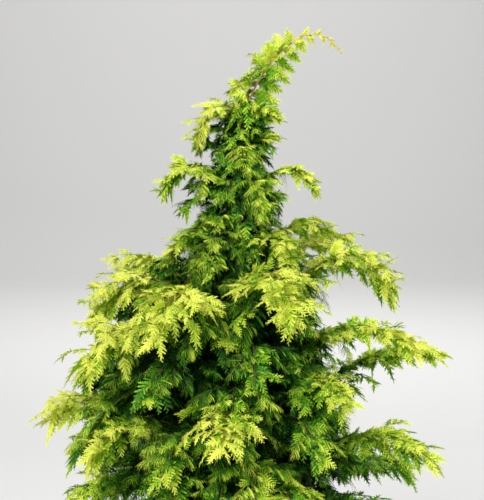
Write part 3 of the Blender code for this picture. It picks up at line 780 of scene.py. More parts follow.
def inner_boughs():
    """Smaller boughs a golden turn apart up the trunk, shorter on the plant's open right side and
    longer on its left, and then the filling ones."""
    places = []
    for i, root in enumerate(np.linspace(*INNER_HEIGHTS, INNER_BOUGHS)):
        rightward = math.cos(math.radians(GOLDEN_TURN * i))
        open_share = (INNER_OPEN if rightward > 0 else INNER_CLOSED) * rightward**2
        places.append((root, GOLDEN_TURN * i, np.interp(root, *INNER_REACH_AT) * (1 - open_share)))
    for i, (root, bearing, reach) in enumerate([*places, *FILLING_BOUGHS]):
        yield Bough(f"inner_{i}", root, bearing, reach, INNER_CLIMB * reach, INNER_DROP * reach)


CURVES = {bough.name: bough_curve(bough) for bough in BOUGHS}
CURVES["plume"] = read_along(smooth_route(PLUME_ROUTE), np.linspace(0, 1, CURVE_STEPS + 1))
INNER_CURVES = [bough_curve(bough) for bough in inner_boughs()]
skinned = [*CURVES.values(), *INNER_CURVES]
root_radii = np.array([distances_along(curve)[-1] for curve in skinned]) / FULL_REACH
root_radii = BOUGH_ROOT_RADIUS * np.clip(root_radii, 0, 1) ** BOUGH_THINNING + LEAST_BOUGH_RADIUS
tip_radii = np.full(len(skinned), BOUGH_TIP_RADIUS)
plume_row, inner_rows = len(BOUGHS), slice(len(CURVES), None)
root_radii[plume_row] = TRUNK_TIP_RADIUS
tip_radii[plume_row] = PLUME_TIP_RADIUS
root_radii[inner_rows] *= INNER_THINNER
bough_points, bough_faces = bough_skin(skinned, root_radii, tip_radii)
twiggy_rings = np.arange(BOUGH_RINGS - 1) > TWIGGY_FROM * BOUGH_RINGS
side_slots = np.repeat(np.where(twiggy_rings, TWIGGY_SLOT, BARE_SLOT), BOUGH_SIDES)
side_slots = np.tile(side_slots, (len(skinned), 1))
side_slots[plume_row] = PLUME_SLOT
side_slots[inner_rows] = BARE_SLOT
end_slots = np.repeat((BARE_SLOT, TWIGGY_SLOT), len(skinned))
bough_slots = np.concatenate([side_slots.ravel(), end_slots])
bough_materials = [
    bark_material,
    new_material("bough_twig", TWIGGY_BARK, TWIG_ROUGHNESS)[0],
    new_material("plume_twig", PLUME_BARK, TWIG_ROUGHNESS)[0],
]
boughs = new_piece("bark_boughs", bough_points, bough_faces, bough_materials, bough_slots, smooth=True)
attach(boughs, "root")
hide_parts(*[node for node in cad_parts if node.endswith("_bough")])


# The sprays are the fern-like branchlets of the cypress. Branches droop from both sides of a bough,
# hang under it and end it, short ones clothe the trunk, and young fronds stand on top of a bough and
# in tufts along the leader. Golden young wood is toothed, and old shaded wood is combed into threads.
Sprays = namedtuple("Sprays", "root run bend side roll pale comb group")
Habit = namedtuple("Habit", "spacing fewest first angles lengths rises sags roll pale blur")
GROUPS = (
    ("top", ("plume", "crest", "top", "neck", "upper")),
    ("waist", ("column", "waist")),
    ("middle_front", ("middle_front", "middle_left_front", "middle_right_front", "middle_left")),
    ("middle_back", ("middle_right", "middle_right_back", "middle_back", "middle_left_back")),
    ("lower_front", ("lower_left", "lower_right", "lower_front")),
    ("lower_back", ("lower_back", "low_right")),
    ("skirt_front", ("skirt_left", "skirt_front")),
    ("skirt_back", ("skirt_right", "skirt_back")),
)
INNER_GROUPS = ("inner_lowest", "inner_low", "inner_middle", "inner_high")
SIDE_LENGTH = 0.135
LEAST_SIDE = 0.12
SHORTEST_SIDE = 0.030
SIDE_SHRINK = 0.62
SHRINK_POWER = 1.5
SIDE_HABIT = Habit(
    spacing=0.0158,
    fewest=8,
    first=0.12,
    angles=(math.radians(37.8), math.radians(67.5)),
    lengths=(0.70, 1.02),
    rises=(0.05, 0.50),
    sags=(0.25, 0.70),
    roll=(0.15, 0.35),
    pale=0.0,
    blur=0.08,
)
HANGING_HABIT = Habit(
    spacing=0.0260,
    fewest=3,
    first=0.12,
    angles=(math.radians(20), math.radians(110)),
    lengths=(0.75, 1.05),
    rises=(-0.3, 0.2),
    sags=(0.6, 1.15),
    roll=(0.0, 0.5),
    # Painted shade: sprays hanging under the bough are painted darker.
    pale=-1.4,
    blur=0.1,
)
YOUNG_HABIT = Habit(
    spacing=0.0062,
    fewest=2,
    first=0.03,
    angles=(math.radians(10), math.radians(75)),
    lengths=(0.65, 1.1),
    rises=(0.20, 0.7),
    sags=(0.3, 0.9),
    roll=(0.0, 0.6),
    # Paler: partly the young fronds' own gold and partly painted light on the bough's top.
    pale=1.0,
    blur=0.08,
)
LAST_SPRAY = 0.90
SPACING_JITTER = 0.4
HEADING_STEP = 0.02
HANGING_FADE = (1.15, 0.45)
SHORTEST_HANGING = 0.001
YOUNG_LENGTHS = (0.046, 0.024)
LEAST_YOUNG = 0.6
END_STRETCHES = ((0.46, 1.0, 0.5), (0.52, 1.0, -0.6), (0.20, 0.60, 0.2))
END_PALER = 0.3
INNER_SPARSER = 2.1
# Painted shade: the inner boughs' sprays are painted darker, most of all from the middle of the crown up.
INNER_DARKER_AT = ((0.10, 0.22, 0.30, 0.66), (1.4, 2.0, 4.6, 3.8))
# Painted light and shade by bough: low boughs are painted paler as if reaching into the light and the lowest
# skirt darker, left-pointing boughs paler as if sunlit, and low right-pointing boughs and the listed shaded
# boughs darker.
LOW_PALER_AT = ((0.09, 0.13, 0.29, 0.31), (-1.0, 1.5, 1.5, 0.0))
SUNNY_PALER = 0.9
SHADY_DARKER = 3.0
SHADED_BOUGHS = {"upper_left": 1.8, "lower_front_right": 1.2}
LOW_BELOW = 0.30
# These front boughs of the column are combed into green threads and painted darker, as painted shade.
GREEN_BOUGHS = ("neck_front", "upper_front", "waist_front")
SHADED_GREEN_DARKER = 3.8
OLD_WOOD = 0.34
LOW_OLD_WOOD = 0.56
HIGH_OLD_WOOD = 0.10
HIGH_FROM = 0.60
INNER_OLD_WOOD = 0.88
HANGING_OLD_WOOD = 0.62
HUNG_FROM = 0.12
SHORT_DENSER = 0.6
AIRY_RIGHT = 0.42
AIRY_SIDE_SHORTER = 0.4
AIRY_SIDE_FLATTER = 0.6
AIRY_OLD_WOOD_LESS = 1.6
CREST_SMALLER = 0.62
POT_ROOM = 0.008
TRUNK_ROOM = 0.004
CLEAR_STEPS = 13
ROOTED_STEPS = 3
CUT_BACK = 0.85
STUB = 0.4


def side_length(bough_length, share):
    """Side sprays are shorter towards the tip and on a short bough."""
    longest = SIDE_LENGTH * share_of_full(LEAST_SIDE, bough_length)
    return np.maximum(longest * (1 - SIDE_SHRINK * share**SHRINK_POWER), SHORTEST_SIDE)


def sprays_on(curve, share, sign, angle, length, rise, sag, roll, pale, comb, group):
    """Sprays rooted on a path at shares of its length. Each leaves at an angle to the path as seen
    from above, rises, and bends down with the square of the way along it."""
    root = read_along(curve, share)
    heading = read_along(curve, share + HEADING_STEP) - read_along(curve, share - HEADING_STEP)
    heading = unit(heading * (1, 1, 0))
    aside = np.cross(UP + 0 * heading, heading) * sign[:, None]
    out = heading * np.cos(angle)[:, None] + aside * np.sin(angle)[:, None]
    side = np.cross(out, UP + 0 * out)
    run = (out + UP * rise[:, None]) * length[:, None]
    bend = -UP * (sag * length)[:, None]
    same = np.ones(len(share))
    return Sprays(root, run, bend, side, roll * sign, pale * same, comb * same, np.full(len(share), group))


def places_on(length, habit, sparser, chance):
    """Shares of a bough's length, evenly spaced but for a little chance."""
    span = LAST_SPRAY - habit.first
    count = max(habit.fewest, round(span * length / habit.spacing / sparser))
    jitter = chance.uniform(-SPACING_JITTER, SPACING_JITTER, count)
    return habit.first + span * (np.arange(count) + 0.5 + jitter) / count


def sprays_by_habit(curve, habit, share, sign, longest, flatter, old_wood, group, chance):
    """Sprays at shares of a bough. Angle, length, rise and sag are drawn from the habit's ranges and
    roll about its mean, and those on the old wood near the bough's root are combed."""
    count = len(share)
    angle = chance.uniform(*habit.angles, count)
    length = np.maximum(longest * chance.uniform(*habit.lengths, count), SHORTEST_HANGING)
    rise = chance.uniform(*habit.rises, count)
    sag = chance.uniform(*habit.sags, count) * flatter
    roll = chance.normal(*habit.roll, count)
    combed = share + chance.normal(0, habit.blur, count) < old_wood
    return sprays_on(curve, share, sign, angle, length, rise, sag, roll, habit.pale, combed, group)


def sprays_of_bough(curve, group, chance, sparser=1.0, old_wood=OLD_WOOD):
    """The sprays of one bough: branches to both sides, under it and along its end, and then the
    young fronds on top of it. A bough of the open right side has shorter and flatter ones."""
    length = distances_along(curve)[-1]
    out = unit((curve[-1] - curve[0]) * (1, 1, 0))
    airy = AIRY_RIGHT * max(0.0, out[0]) ** 2
    old_wood = old_wood * (1 - AIRY_OLD_WOOD_LESS * airy) if sparser == 1 else old_wood
    sparser = sparser * share_of_full(SHORT_DENSER, length)

    share = places_on(length, SIDE_HABIT, sparser, chance)
    sign = np.where(np.arange(len(share)) % 2, 1.0, -1.0)
    longest = side_length(length, share) * (1 - AIRY_SIDE_SHORTER * airy)
    flatter = 1 - AIRY_SIDE_FLATTER * airy
    made = [sprays_by_habit(curve, SIDE_HABIT, share, sign, longest, flatter, old_wood, group, chance)]

    share = places_on(length, HANGING_HABIT, sparser, chance)
    sign = chance.choice((-1.0, 1.0), len(share))
    fade = (HANGING_FADE[0] - HANGING_FADE[1] * share) * (length > HUNG_FROM) * (1 - airy)
    longest = side_length(length, share) * fade
    made.append(
        sprays_by_habit(curve, HANGING_HABIT, share, sign, longest, 1, HANGING_OLD_WOOD, group, chance)
    )

    for first, last, roll in END_STRETCHES:
        start, near, end = read_along(curve, np.array((first, first + HEADING_STEP, last)))
        run = unit(near - start) * np.linalg.norm(end - start)
        side = unit(np.cross(run, UP))
        spray = (start, run, end - start - run, side, roll, END_PALER, 0.0, group)
        made.append(Sprays(*(np.array([row]) for row in spray)))

    habit = YOUNG_HABIT._replace(spacing=YOUNG_HABIT.spacing * (1 - airy))
    share = places_on(length, habit, sparser, chance)
    sign = chance.choice((-1.0, 1.0), len(share))
    longest = YOUNG_LENGTHS[0] + (YOUNG_LENGTHS[1] - YOUNG_LENGTHS[0]) * share
    longest = longest * share_of_full(LEAST_YOUNG, length)
    return joined(made), sprays_by_habit(curve, habit, share, sign, longest, 1, old_wood, group, chance)


TRUNK_SPRAYS = 340
TRUNK_SPRAYS_SPREAD = ((0.0, 0.42, 0.64, 1.0), (0.09, 0.50, 0.68, 0.84))
TRUNK_SPRAY_HEIGHTS = (0.09, 0.30, 0.50, 0.60, 0.68, 0.74, 0.77, 0.80, 0.84)
TRUNK_SPRAY_LENGTHS = (0.12, 0.12, 0.11, 0.100, 0.080, 0.060, 0.055, 0.056, 0.050)
TRUNK_SPRAY_SPREAD = (0.75, 1.1)
TRUNK_SPRAY_RISES = (0.0, 0.5)
TRUNK_SPRAY_SAGS = (0.55, 1.0)
TRUNK_SPRAY_ROLL = 0.4
TRUNK_COMBED_BELOW = 0.64
# Painted shade: the sprays round the trunk are painted darker, deep in the crown.
TRUNK_DARKER = 3.2
LEADER_SPRAYS = 136
LEADER_START = 0.69
LEADER_AT = (0.0, 0.18, 0.34, 0.60, 0.74, 0.86, 1.0)
LEADER_LENGTHS = (0.044, 0.048, 0.056, 0.048, 0.030, 0.014, 0.008)
LEADER_LEFT_AT = (0.0, 0.15, 0.28, 0.36, 0.46, 0.56, 0.66, 0.76, 0.86, 1.0)
LEADER_LEFT_LENGTHS = (0.050, 0.058, 0.072, 0.076, 0.070, 0.050, 0.036, 0.024, 0.010, 0.007)
LEADER_LEFT_SAG = (0.65, 0.70, 0.80, 0.80, 0.60, 0.20, 0.05, 0.05, 0.05, 0.05)
LEADER_RIGHT_SAG = 0.22
LEADER_LENGTH_SPREAD = (0.8, 1.1)
LEADER_FORWARD = (0.9, 0.35)
LEADER_FORWARD_SPREAD = (0.6, 1.4)
LEADER_END = 0.985
LEADER_HEADING_STEP = 0.01
LEADER_TUFTS = 15
TUFT_WIDTH = 0.45
LEADER_SPINS = (0.0, 0.0, 1.2, -1.2)
LEADER_SPIN_SPREAD = 0.25
LEADER_ROLL = 0.25
LEADER_DARKER = (1.5, 1.9)
LEADER_SHADE_SPREAD = 1.5
TAIL_FROM = 0.70
TAIL_PALER = 3.0


def sprays_of_trunk(chance):
    """Short sprays that hang round the trunk, a golden turn apart as they climb it."""
    above = np.interp(np.linspace(0, 1, TRUNK_SPRAYS), *TRUNK_SPRAYS_SPREAD)
    height = SOIL_TOP + above
    root = np.stack([np.interp(height, TRUNK[:, 2], TRUNK[:, k]) for k in range(3)], axis=1)
    bearing = np.radians(GOLDEN_TURN * np.arange(TRUNK_SPRAYS))
    out = np.stack([np.cos(bearing), np.sin(bearing), 0 * bearing], axis=1)
    length = np.interp(above, TRUNK_SPRAY_HEIGHTS, TRUNK_SPRAY_LENGTHS)
    length = length * chance.uniform(*TRUNK_SPRAY_SPREAD, TRUNK_SPRAYS)
    run = (out + UP * chance.uniform(*TRUNK_SPRAY_RISES, TRUNK_SPRAYS)[:, None]) * length[:, None]
    bend = -UP * (chance.uniform(*TRUNK_SPRAY_SAGS, TRUNK_SPRAYS) * length)[:, None]
    side = np.cross(out, UP + 0 * out)
    # Painted shade inside the crown.
    pale = np.full(TRUNK_SPRAYS, -TRUNK_DARKER)
    roll = chance.normal(0, TRUNK_SPRAY_ROLL, TRUNK_SPRAYS)
    group = np.full(TRUNK_SPRAYS, len(GROUPS))
    return Sprays(root, run, bend, side, roll, pale, above < TRUNK_COMBED_BELOW, group)


def sprays_of_leader(chance):
    """Sprays in tufts by turns to the left and the right of the leader and its arching end, shorter
    towards its tip. The upper side of each one's flat faces the front."""
    arch = np.vstack([TRUNK, CURVES["plume"][1:]])
    start = np.interp(SOIL_TOP + LEADER_START, TRUNK[:, 2], distances_along(TRUNK))
    start = start / distances_along(arch)[-1]
    left = np.arange(LEADER_SPRAYS) % 2 == 0
    tuft = LEADER_TUFTS * np.linspace(0, 1, LEADER_SPRAYS) + left / 2
    tuft = np.floor(tuft) + 0.5 + TUFT_WIDTH * (tuft % 1 - 0.5) - left / 2
    share = start + (LEADER_END - start) * np.clip(tuft / LEADER_TUFTS, 0, 1)
    root = read_along(arch, share)
    along = read_along(arch, share + LEADER_HEADING_STEP) - read_along(arch, share - LEADER_HEADING_STEP)
    along = unit(along)
    back = np.array((0.0, 1.0, 0.0))
    facing = np.where(left, 1, -1)[:, None]
    spin = chance.choice(LEADER_SPINS, LEADER_SPRAYS)
    spin = spin + chance.normal(0, LEADER_SPIN_SPREAD, LEADER_SPRAYS)
    out = np.cross(along, back) * facing * np.cos(spin)[:, None] + back * np.sin(spin)[:, None]
    fade = (share - start) / (1 - start)
    left_length = np.interp(fade, LEADER_LEFT_AT, LEADER_LEFT_LENGTHS)
    length = np.where(left, left_length, np.interp(fade, LEADER_AT, LEADER_LENGTHS))
    length = length * chance.uniform(*LEADER_LENGTH_SPREAD, LEADER_SPRAYS)
    forward = np.where(left, *LEADER_FORWARD) * chance.uniform(*LEADER_FORWARD_SPREAD, LEADER_SPRAYS)
    run = unit(out + along * forward[:, None]) * length[:, None]
    sag = np.where(left, np.interp(fade, LEADER_LEFT_AT, LEADER_LEFT_SAG), LEADER_RIGHT_SAG)
    bend = -UP * (length * sag)[:, None]
    side = unit(along - unit(run) * np.sum(along * unit(run), axis=1)[:, None]) * facing
    roll = chance.normal(0, LEADER_ROLL, LEADER_SPRAYS)
    none = np.zeros(LEADER_SPRAYS)
    pale = TAIL_PALER * (fade > TAIL_FROM) - np.where(left, *LEADER_DARKER)
    pale = pale + chance.normal(0, LEADER_SHADE_SPREAD, LEADER_SPRAYS)
    return Sprays(root, run, bend, side, roll, pale, none, none.astype(int))


def joined(many):
    """Several lots of sprays as one."""
    return Sprays(*(np.concatenate(column) for column in zip(*many)))


def rib_points(sprays, share):
    """Points on each spray's twig: its root, a straight run, and a bend with the square."""
    share = np.asarray(share)[..., None]
    return sprays.root[:, None] + sprays.run[:, None] * share + sprays.bend[:, None] * share**2


def kept_clear(sprays):
    """Sprays that would reach into the pot are cut short before it, those that would be left as
    stubs are dropped, and so are those of a bough that would run through the trunk."""
    share = np.linspace(0, 1, CLEAR_STEPS)
    points = rib_points(sprays, share[None])
    distance = np.linalg.norm(points[..., :2], axis=2)
    in_pot = (distance < RIM_RADIUS + POT_ROOM) & (points[..., 2] < POT_HEIGHT + POT_ROOM)
    clear = np.where(in_pot.any(axis=1), share[in_pot.argmax(axis=1)] * CUT_BACK, 1.0)
    middle = np.stack([np.interp(points[..., 2], TRUNK[:, 2], TRUNK[:, k]) for k in range(2)], axis=2)
    from_trunk = np.linalg.norm(points[..., :2] - middle, axis=2)
    thinned = np.clip(1 - (points[..., 2] - SOIL_TOP) / (TRUNK[-1, 2] - SOIL_TOP), 0, 1) ** TRUNK_TAPER
    through = from_trunk < TRUNK_FOOT_RADIUS * thinned + TRUNK_ROOM
    through = through[:, ROOTED_STEPS:].any(axis=1) & (sprays.group > 0)
    keep = (clear > STUB) & ~through
    cut = clear[:, None]
    trimmed = sprays._replace(run=sprays.run * cut, bend=sprays.bend * cut**2)
    return Sprays(*(column[keep] for column in trimmed))


def group_of(name):
    """The group of pieces that a bough's sprays go in: the one with the longest matching name."""
    starts = [(start, i) for i, (_, starts) in enumerate(GROUPS) for start in starts]
    return max((len(start), i) for start, i in starts if name.startswith(start))[1]


chance = np.random.default_rng(41)
all_branches = [sprays_of_trunk(chance), sprays_of_leader(chance)]
all_young = []
for bough in BOUGHS:
    rightward = math.cos(math.radians(bough.bearing))
    low = bough.root < LOW_BELOW
    # The bough's offset is painted light and shade: paler where light would fall, darker in shade.
    paler = np.interp(bough.root, *LOW_PALER_AT) - SHADY_DARKER * max(0.0, rightward) * low
    paler += SUNNY_PALER * max(0.0, -rightward) - SHADED_BOUGHS.get(bough.name, 0)
    old_wood = LOW_OLD_WOOD if low else HIGH_OLD_WOOD if bough.root > HIGH_FROM else OLD_WOOD
    on_bough = sprays_of_bough(CURVES[bough.name], group_of(bough.name), chance, old_wood=old_wood)
    for found, kept in zip(on_bough, (all_branches, all_young)):
        if bough.name.startswith("crest"):
            found = found._replace(run=found.run * CREST_SMALLER, bend=found.bend * CREST_SMALLER)
        # Painted shade on the combed front boughs.
        if bough.name in GREEN_BOUGHS:
            found = found._replace(comb=np.ones(len(found.comb)), pale=found.pale - SHADED_GREEN_DARKER)
        kept.append(found._replace(pale=found.pale + paler))
for i, curve in enumerate(INNER_CURVES):
    inner_group = len(GROUPS) + 1 + min(len(INNER_GROUPS) - 1, len(INNER_GROUPS) * i // INNER_BOUGHS)
    on_bough = joined(sprays_of_bough(curve, inner_group, chance, INNER_SPARSER, INNER_OLD_WOOD))
    # Painted shade inside the crown.
    darker = np.interp(curve[0, 2] - SOIL_TOP, *INNER_DARKER_AT)
    all_branches.append(on_bough._replace(pale=on_bough.pale - darker))
grown = kept_clear(joined(all_branches))


# A branch carries flat fronds alternately on both sides, like a fern, and one at its end. Each frond
# carries flat shoots in the same way, long near its foot and short at its tip. On golden wood they
# are toothed and close together, and on old shaded wood they are long thin threads that droop.
BRANCHED_FROM = 0.056
FROND_GAP = 0.0050
FROND_GAP_SHARE = 0.038
FEWEST_FRONDS = 3
FRONDS_SPAN = (0.14, 0.92)
FROND_PLACES = (0.2, 0.8)
END_FROND = 0.62
FROND_REACH = 0.48
FROND_FOOT = (0.5, 2)
FROND_TIP_SHORTER = 0.6
FROND_LENGTHS = (0.013, 0.044)
FROND_LENGTH_SPREAD = (0.8, 1.1)
FROND_ANGLES = (math.radians(58), math.radians(38))
FROND_ANGLE_SPREAD = 0.12
FROND_TILT = 0.30
FROND_ROLL = 0.2
FROND_SAG = (0.10, 0.40)
FROND_PALER = 1.2
FEWEST_SHOOTS = 5
FIRST_SHOOT = 0.07
SHOOT_GAP = 0.0021
SHOOT_GAP_SHARE = 0.022
COMB_CLOSER = 0.78
SHOOT_REACH = 0.42
COMB_REACH = 0.52
LONGEST_SHOOT = 0.018
LONGEST_COMB_SHOOT_AT = ((0.40, 0.58), (0.019, 0.0145))
SHOOT_FOOT = (0.55, 2.2)
SHOOT_TIP_POWER = 0.7
LEAST_SHOOT = 0.16
SHOOT_LENGTH_SPREAD = (0.82, 1.12)
SHOOT_ANGLES = (math.radians(58), math.radians(40))
SHOOT_ANGLE_SPREAD = 0.09
SHOOT_TILT = 0.14


def along_ribs(sprays, on, share, spread, chance):
    """Where something grows from the ribs of sprays: its root, the rib's way there, and the flat
    of the spray as the ways aside and up, rolled about the rib by chance."""
    root = sprays.root[on] + sprays.run[on] * share[:, None] + sprays.bend[on] * share[:, None] ** 2
    along = unit(sprays.run[on] + 2 * sprays.bend[on] * share[:, None])
    roll = sprays.roll[on] + chance.normal(0, spread, len(on))
    lift = unit(np.cross(sprays.side[on], along))
    side = np.cross(along, lift)
    side = side * np.cos(roll)[:, None] + lift * np.sin(roll)[:, None]
    return root, along, side, np.cross(side, along)


def dealt(count):
    """Which one each of the counted things belongs to, and its rank there."""
    on = np.repeat(np.arange(len(count)), count)
    return on, np.arange(count.sum()) - np.repeat(np.cumsum(count) - count, count)


def fronds_on(branches, chance):
    """Fronds alternate along both sides of each branch, lean further forward and get shorter towards
    its tip, and another one is the branch's own end."""
    length = np.linalg.norm(branches.run, axis=1)
    count = np.maximum(FEWEST_FRONDS, (length / (FROND_GAP + FROND_GAP_SHARE * length)).astype(int))
    on, rank = dealt(count)
    share = (rank + chance.uniform(*FROND_PLACES, len(on))) / count[on]
    share = FRONDS_SPAN[0] + (FRONDS_SPAN[1] - FRONDS_SPAN[0]) * share
    sign = np.where(rank % 2, 1.0, -1.0)
    root, along, side, lift = along_ribs(branches, on, share, FROND_TILT, chance)
    angle = FROND_ANGLES[0] + (FROND_ANGLES[1] - FROND_ANGLES[0]) * share
    angle = angle + chance.normal(0, FROND_ANGLE_SPREAD, len(on))
    out = along * np.cos(angle)[:, None] + side * (sign * np.sin(angle))[:, None]
    outline = np.minimum(1, FROND_FOOT[0] + FROND_FOOT[1] * share) * (1 - FROND_TIP_SHORTER * share)
    size = np.clip(FROND_REACH * length[on] * outline, *FROND_LENGTHS)
    size = size * chance.uniform(*FROND_LENGTH_SPREAD, len(on))
    aside = Sprays(
        root=root,
        run=out * size[:, None],
        bend=-UP * (size * chance.uniform(*FROND_SAG, len(on)))[:, None],
        side=np.cross(out, lift),
        roll=chance.normal(0, FROND_ROLL, len(on)),
        pale=branches.pale[on] + FROND_PALER * (share - 0.5),
        comb=branches.comb[on],
        group=branches.group[on],
    )
    rest = 1 - END_FROND
    ends = branches._replace(
        root=branches.root + branches.run * END_FROND + branches.bend * END_FROND**2,
        run=(branches.run + 2 * branches.bend * END_FROND) * rest,
        bend=branches.bend * rest**2,
        pale=branches.pale + FROND_PALER / 2,
    )
    return joined([aside, ends])


def shoots_on(fronds, chance):
    """Shoots alternate along both sides of each frond. They lean further forward and get shorter
    towards its tip, so that the frond is widest near its foot and ends in a point."""
    length = np.linalg.norm(fronds.run, axis=1)
    gap = (SHOOT_GAP + SHOOT_GAP_SHARE * length) * np.where(fronds.comb > 0, COMB_CLOSER, 1)
    count = np.maximum(FEWEST_SHOOTS, (length / gap).astype(int))
    on, rank = dealt(count)
    share = FIRST_SHOOT + (1 - FIRST_SHOOT) * (rank + 0.5) / count[on]
    sign = np.where(rank % 2, 1.0, -1.0)
    root, along, side, lift = along_ribs(fronds, on, share, SHOOT_TILT, chance)
    angle = SHOOT_ANGLES[0] + (SHOOT_ANGLES[1] - SHOOT_ANGLES[0]) * share
    angle = angle + chance.normal(0, SHOOT_ANGLE_SPREAD, len(on))
    out = along * np.cos(angle)[:, None] + side * (sign * np.sin(angle))[:, None]
    outline = np.minimum(1, SHOOT_FOOT[0] + SHOOT_FOOT[1] * share) * (1 - share) ** SHOOT_TIP_POWER
    outline = outline + LEAST_SHOOT
    combed = fronds.comb[on] > 0
    longest_comb = np.interp(root[:, 2] - SOIL_TOP, *LONGEST_COMB_SHOOT_AT)
    longest = np.where(combed, longest_comb, LONGEST_SHOOT)
    reach = np.minimum(np.where(combed, COMB_REACH, SHOOT_REACH) * length[on], longest)
    size = reach * outline * chance.uniform(*SHOOT_LENGTH_SPREAD, len(on))
    return on, share, root, out, lift, size


is_branch = np.linalg.norm(grown.run, axis=1) > BRANCHED_FROM
branches = Sprays(*(column[is_branch] for column in grown))
single = Sprays(*(column[~is_branch] for column in grown))
fronds = kept_clear(joined([fronds_on(branches, chance), single, *all_young]))
on, share, shoot_root, shoot_out, shoot_lift, shoot_size = shoots_on(fronds, chance)


# The colours run from the dark green of the shaded inside to the gold of the outermost tips. They are
# dealt out by spray, from how open to the sky a spray is and a paler or darker offset for its bough
# and place. Both are largely painted light and shade on top of the plant's own green and gold: sprays
# open to the sky are painted paler, and those deep in the crown are painted darker.
LIGHT_CELL = 0.02
LIGHT_TURNS = 10
LIGHT_SLOPES = ((0.87, 0.5), (0.5, 0.87))
LIGHT_FROM_ABOVE = 4
LIGHT_STEPS = 14
LIGHT_BLOCKED = 0.5
SHOOT_AREA = 0.2


def daylight(points, area):
    """How open each point is to the sky, from 0 to 1. The shoots' area is summed in cells, and for
    each of several ways up and out the area that lies that way dims the light step by step."""
    low = points.min(axis=0) - LIGHT_CELL
    index = ((points - low) / LIGHT_CELL).astype(int)
    shape = index.max(axis=0) + 2
    filled = np.zeros(shape)
    np.add.at(filled, tuple(index.T), area)
    turns = np.linspace(0, 2 * math.pi, LIGHT_TURNS, endpoint=False)
    ways = [(math.cos(turn) * out, math.sin(turn) * out, up) for turn in turns for out, up in LIGHT_SLOPES]
    ways += [(0.0, 0.0, 1.0)] * LIGHT_FROM_ABOVE
    light = np.zeros(len(points))
    for way in ways:
        blocked = np.zeros(len(points))
        for step in range(1, LIGHT_STEPS + 1):
            at = ((points + np.array(way) * step * LIGHT_CELL - low) / LIGHT_CELL).astype(int)
            inside = ((at >= 0) & (at < shape)).all(axis=1)
            at = np.where(inside[:, None], at, 0)
            blocked += np.where(inside, filled[tuple(at.T)], 0)
        light += np.exp(-blocked / LIGHT_CELL**2 * LIGHT_BLOCKED)
    return light / len(ways)


def from_screen(red, green, blue):
    """A colour as a screen shows it, made linear by the screen's own curve: a straight line in the
    darkest part and a power of 2.4 above it."""
    shown = np.array((red, green, blue)) / 255
    return tuple(np.where(shown <= 0.04045, shown / 12.92, ((shown + 0.055) / 1.055) ** 2.4))


# Painted light and shade: the two darkest greens stand for painted shade deep in the crown, and the brightest
# gold is partly the tips' own gold and partly painted sunlight on them.
LEAF_COLOURS = (
    ("leaf_deep_shade", from_screen(6, 46, 10), 0.26),
    ("leaf_shade", from_screen(18, 68, 16), 0.18),
    ("leaf_deep_green", from_screen(40, 96, 24), 0.13),
    ("leaf_green", from_screen(70, 134, 30), 0.10),
    ("leaf_lime", from_screen(104, 168, 32), 0.09),
    ("leaf_yellow_green", from_screen(152, 202, 44), 0.09),
    ("leaf_gold", from_screen(206, 226, 60), 0.09),
    ("leaf_sunlit_gold", from_screen(240, 246, 104), 0.06),
)
LEAF_ROUGHNESS = 0.6
LEAF_SHEEN = 0.12
SPRAY_LIGHT, SHOOT_LIGHT = 0.55, 0.45
PALER_TAKEN, DARKER_TAKEN = 0.6, 0.5
TIP_PALER = 2.0
EVEN_AT = 0.45
COMB_DARKER = 0.8
SPRAY_SHADE_SPREAD = 0.55
SHOOT_SHADE_SPREAD = 0.50


def leaf_shades(on, share, middle, size, pale, comb, chance):
    """A colour for each shoot, dealt out by spray as painted light and shade: the more daylight a spray
    gets the paler and more golden it is painted, and gold is strongest at its tip. The spray's offset
    adds painted light or shade, and combed shoots are darker, partly their own green and partly
    painted shade."""
    light = daylight(middle, size**2 * SHOOT_AREA)
    count = on.max() + 1
    spray_light = np.bincount(on, light, count) / np.maximum(np.bincount(on, minlength=count), 1)
    score = SPRAY_LIGHT * spray_light[on] + SHOOT_LIGHT * light
    rank = np.argsort(np.argsort(score)) / len(score)
    edges = np.cumsum([row[2] for row in LEAF_COLOURS])[:-1]
    shade = np.searchsorted(edges, rank).astype(float)
    paler = np.where(pale[on] > 0, pale[on] * rank * PALER_TAKEN, pale[on] * DARKER_TAKEN)
    shade += TIP_PALER * (share - EVEN_AT) + paler - COMB_DARKER * comb[on]
    shade += chance.normal(0, SPRAY_SHADE_SPREAD, count)[on]
    shade += chance.normal(0, SHOOT_SHADE_SPREAD, len(on))
    return shade, spray_light


def colour_slots(shade):
    """The slots of the leaf colours nearest to the shades."""
    return np.clip(np.round(shade), 0, len(LEAF_COLOURS) - 1).astype(int)


shoot_middle = shoot_root + shoot_out * shoot_size[:, None] / 2
shade, frond_light = leaf_shades(on, share, shoot_middle, shoot_size, fronds.pale, fronds.comb, chance)
frond_shade = np.bincount(on, shade) / np.bincount(on)
leaf_materials = []
for leaf_name, leaf_colour, _ in LEAF_COLOURS:
    leaf_material, _, _, leaf_shader = new_material(leaf_name, leaf_colour, LEAF_ROUGHNESS)
    leaf_shader.inputs["Specular IOR Level"].default_value = LEAF_SHEEN
    leaf_materials.append(leaf_material)


# The leaves are scales pressed so close along a shoot that a shoot is one flat blade of a few faces,
# with teeth on golden wood and without on old wood. The shoots of a golden frond are grown together
# in one more blade below them. LOBED has the shortest shoot of a kind, its teeth and their length.
LOBED = ((0.0, 1, 0.34), (0.008, 2, 0.30), (0.013, 3, 0.26))
LOBED_HALF_WIDTH = 0.13
COMBED_HALF_WIDTH = 0.045
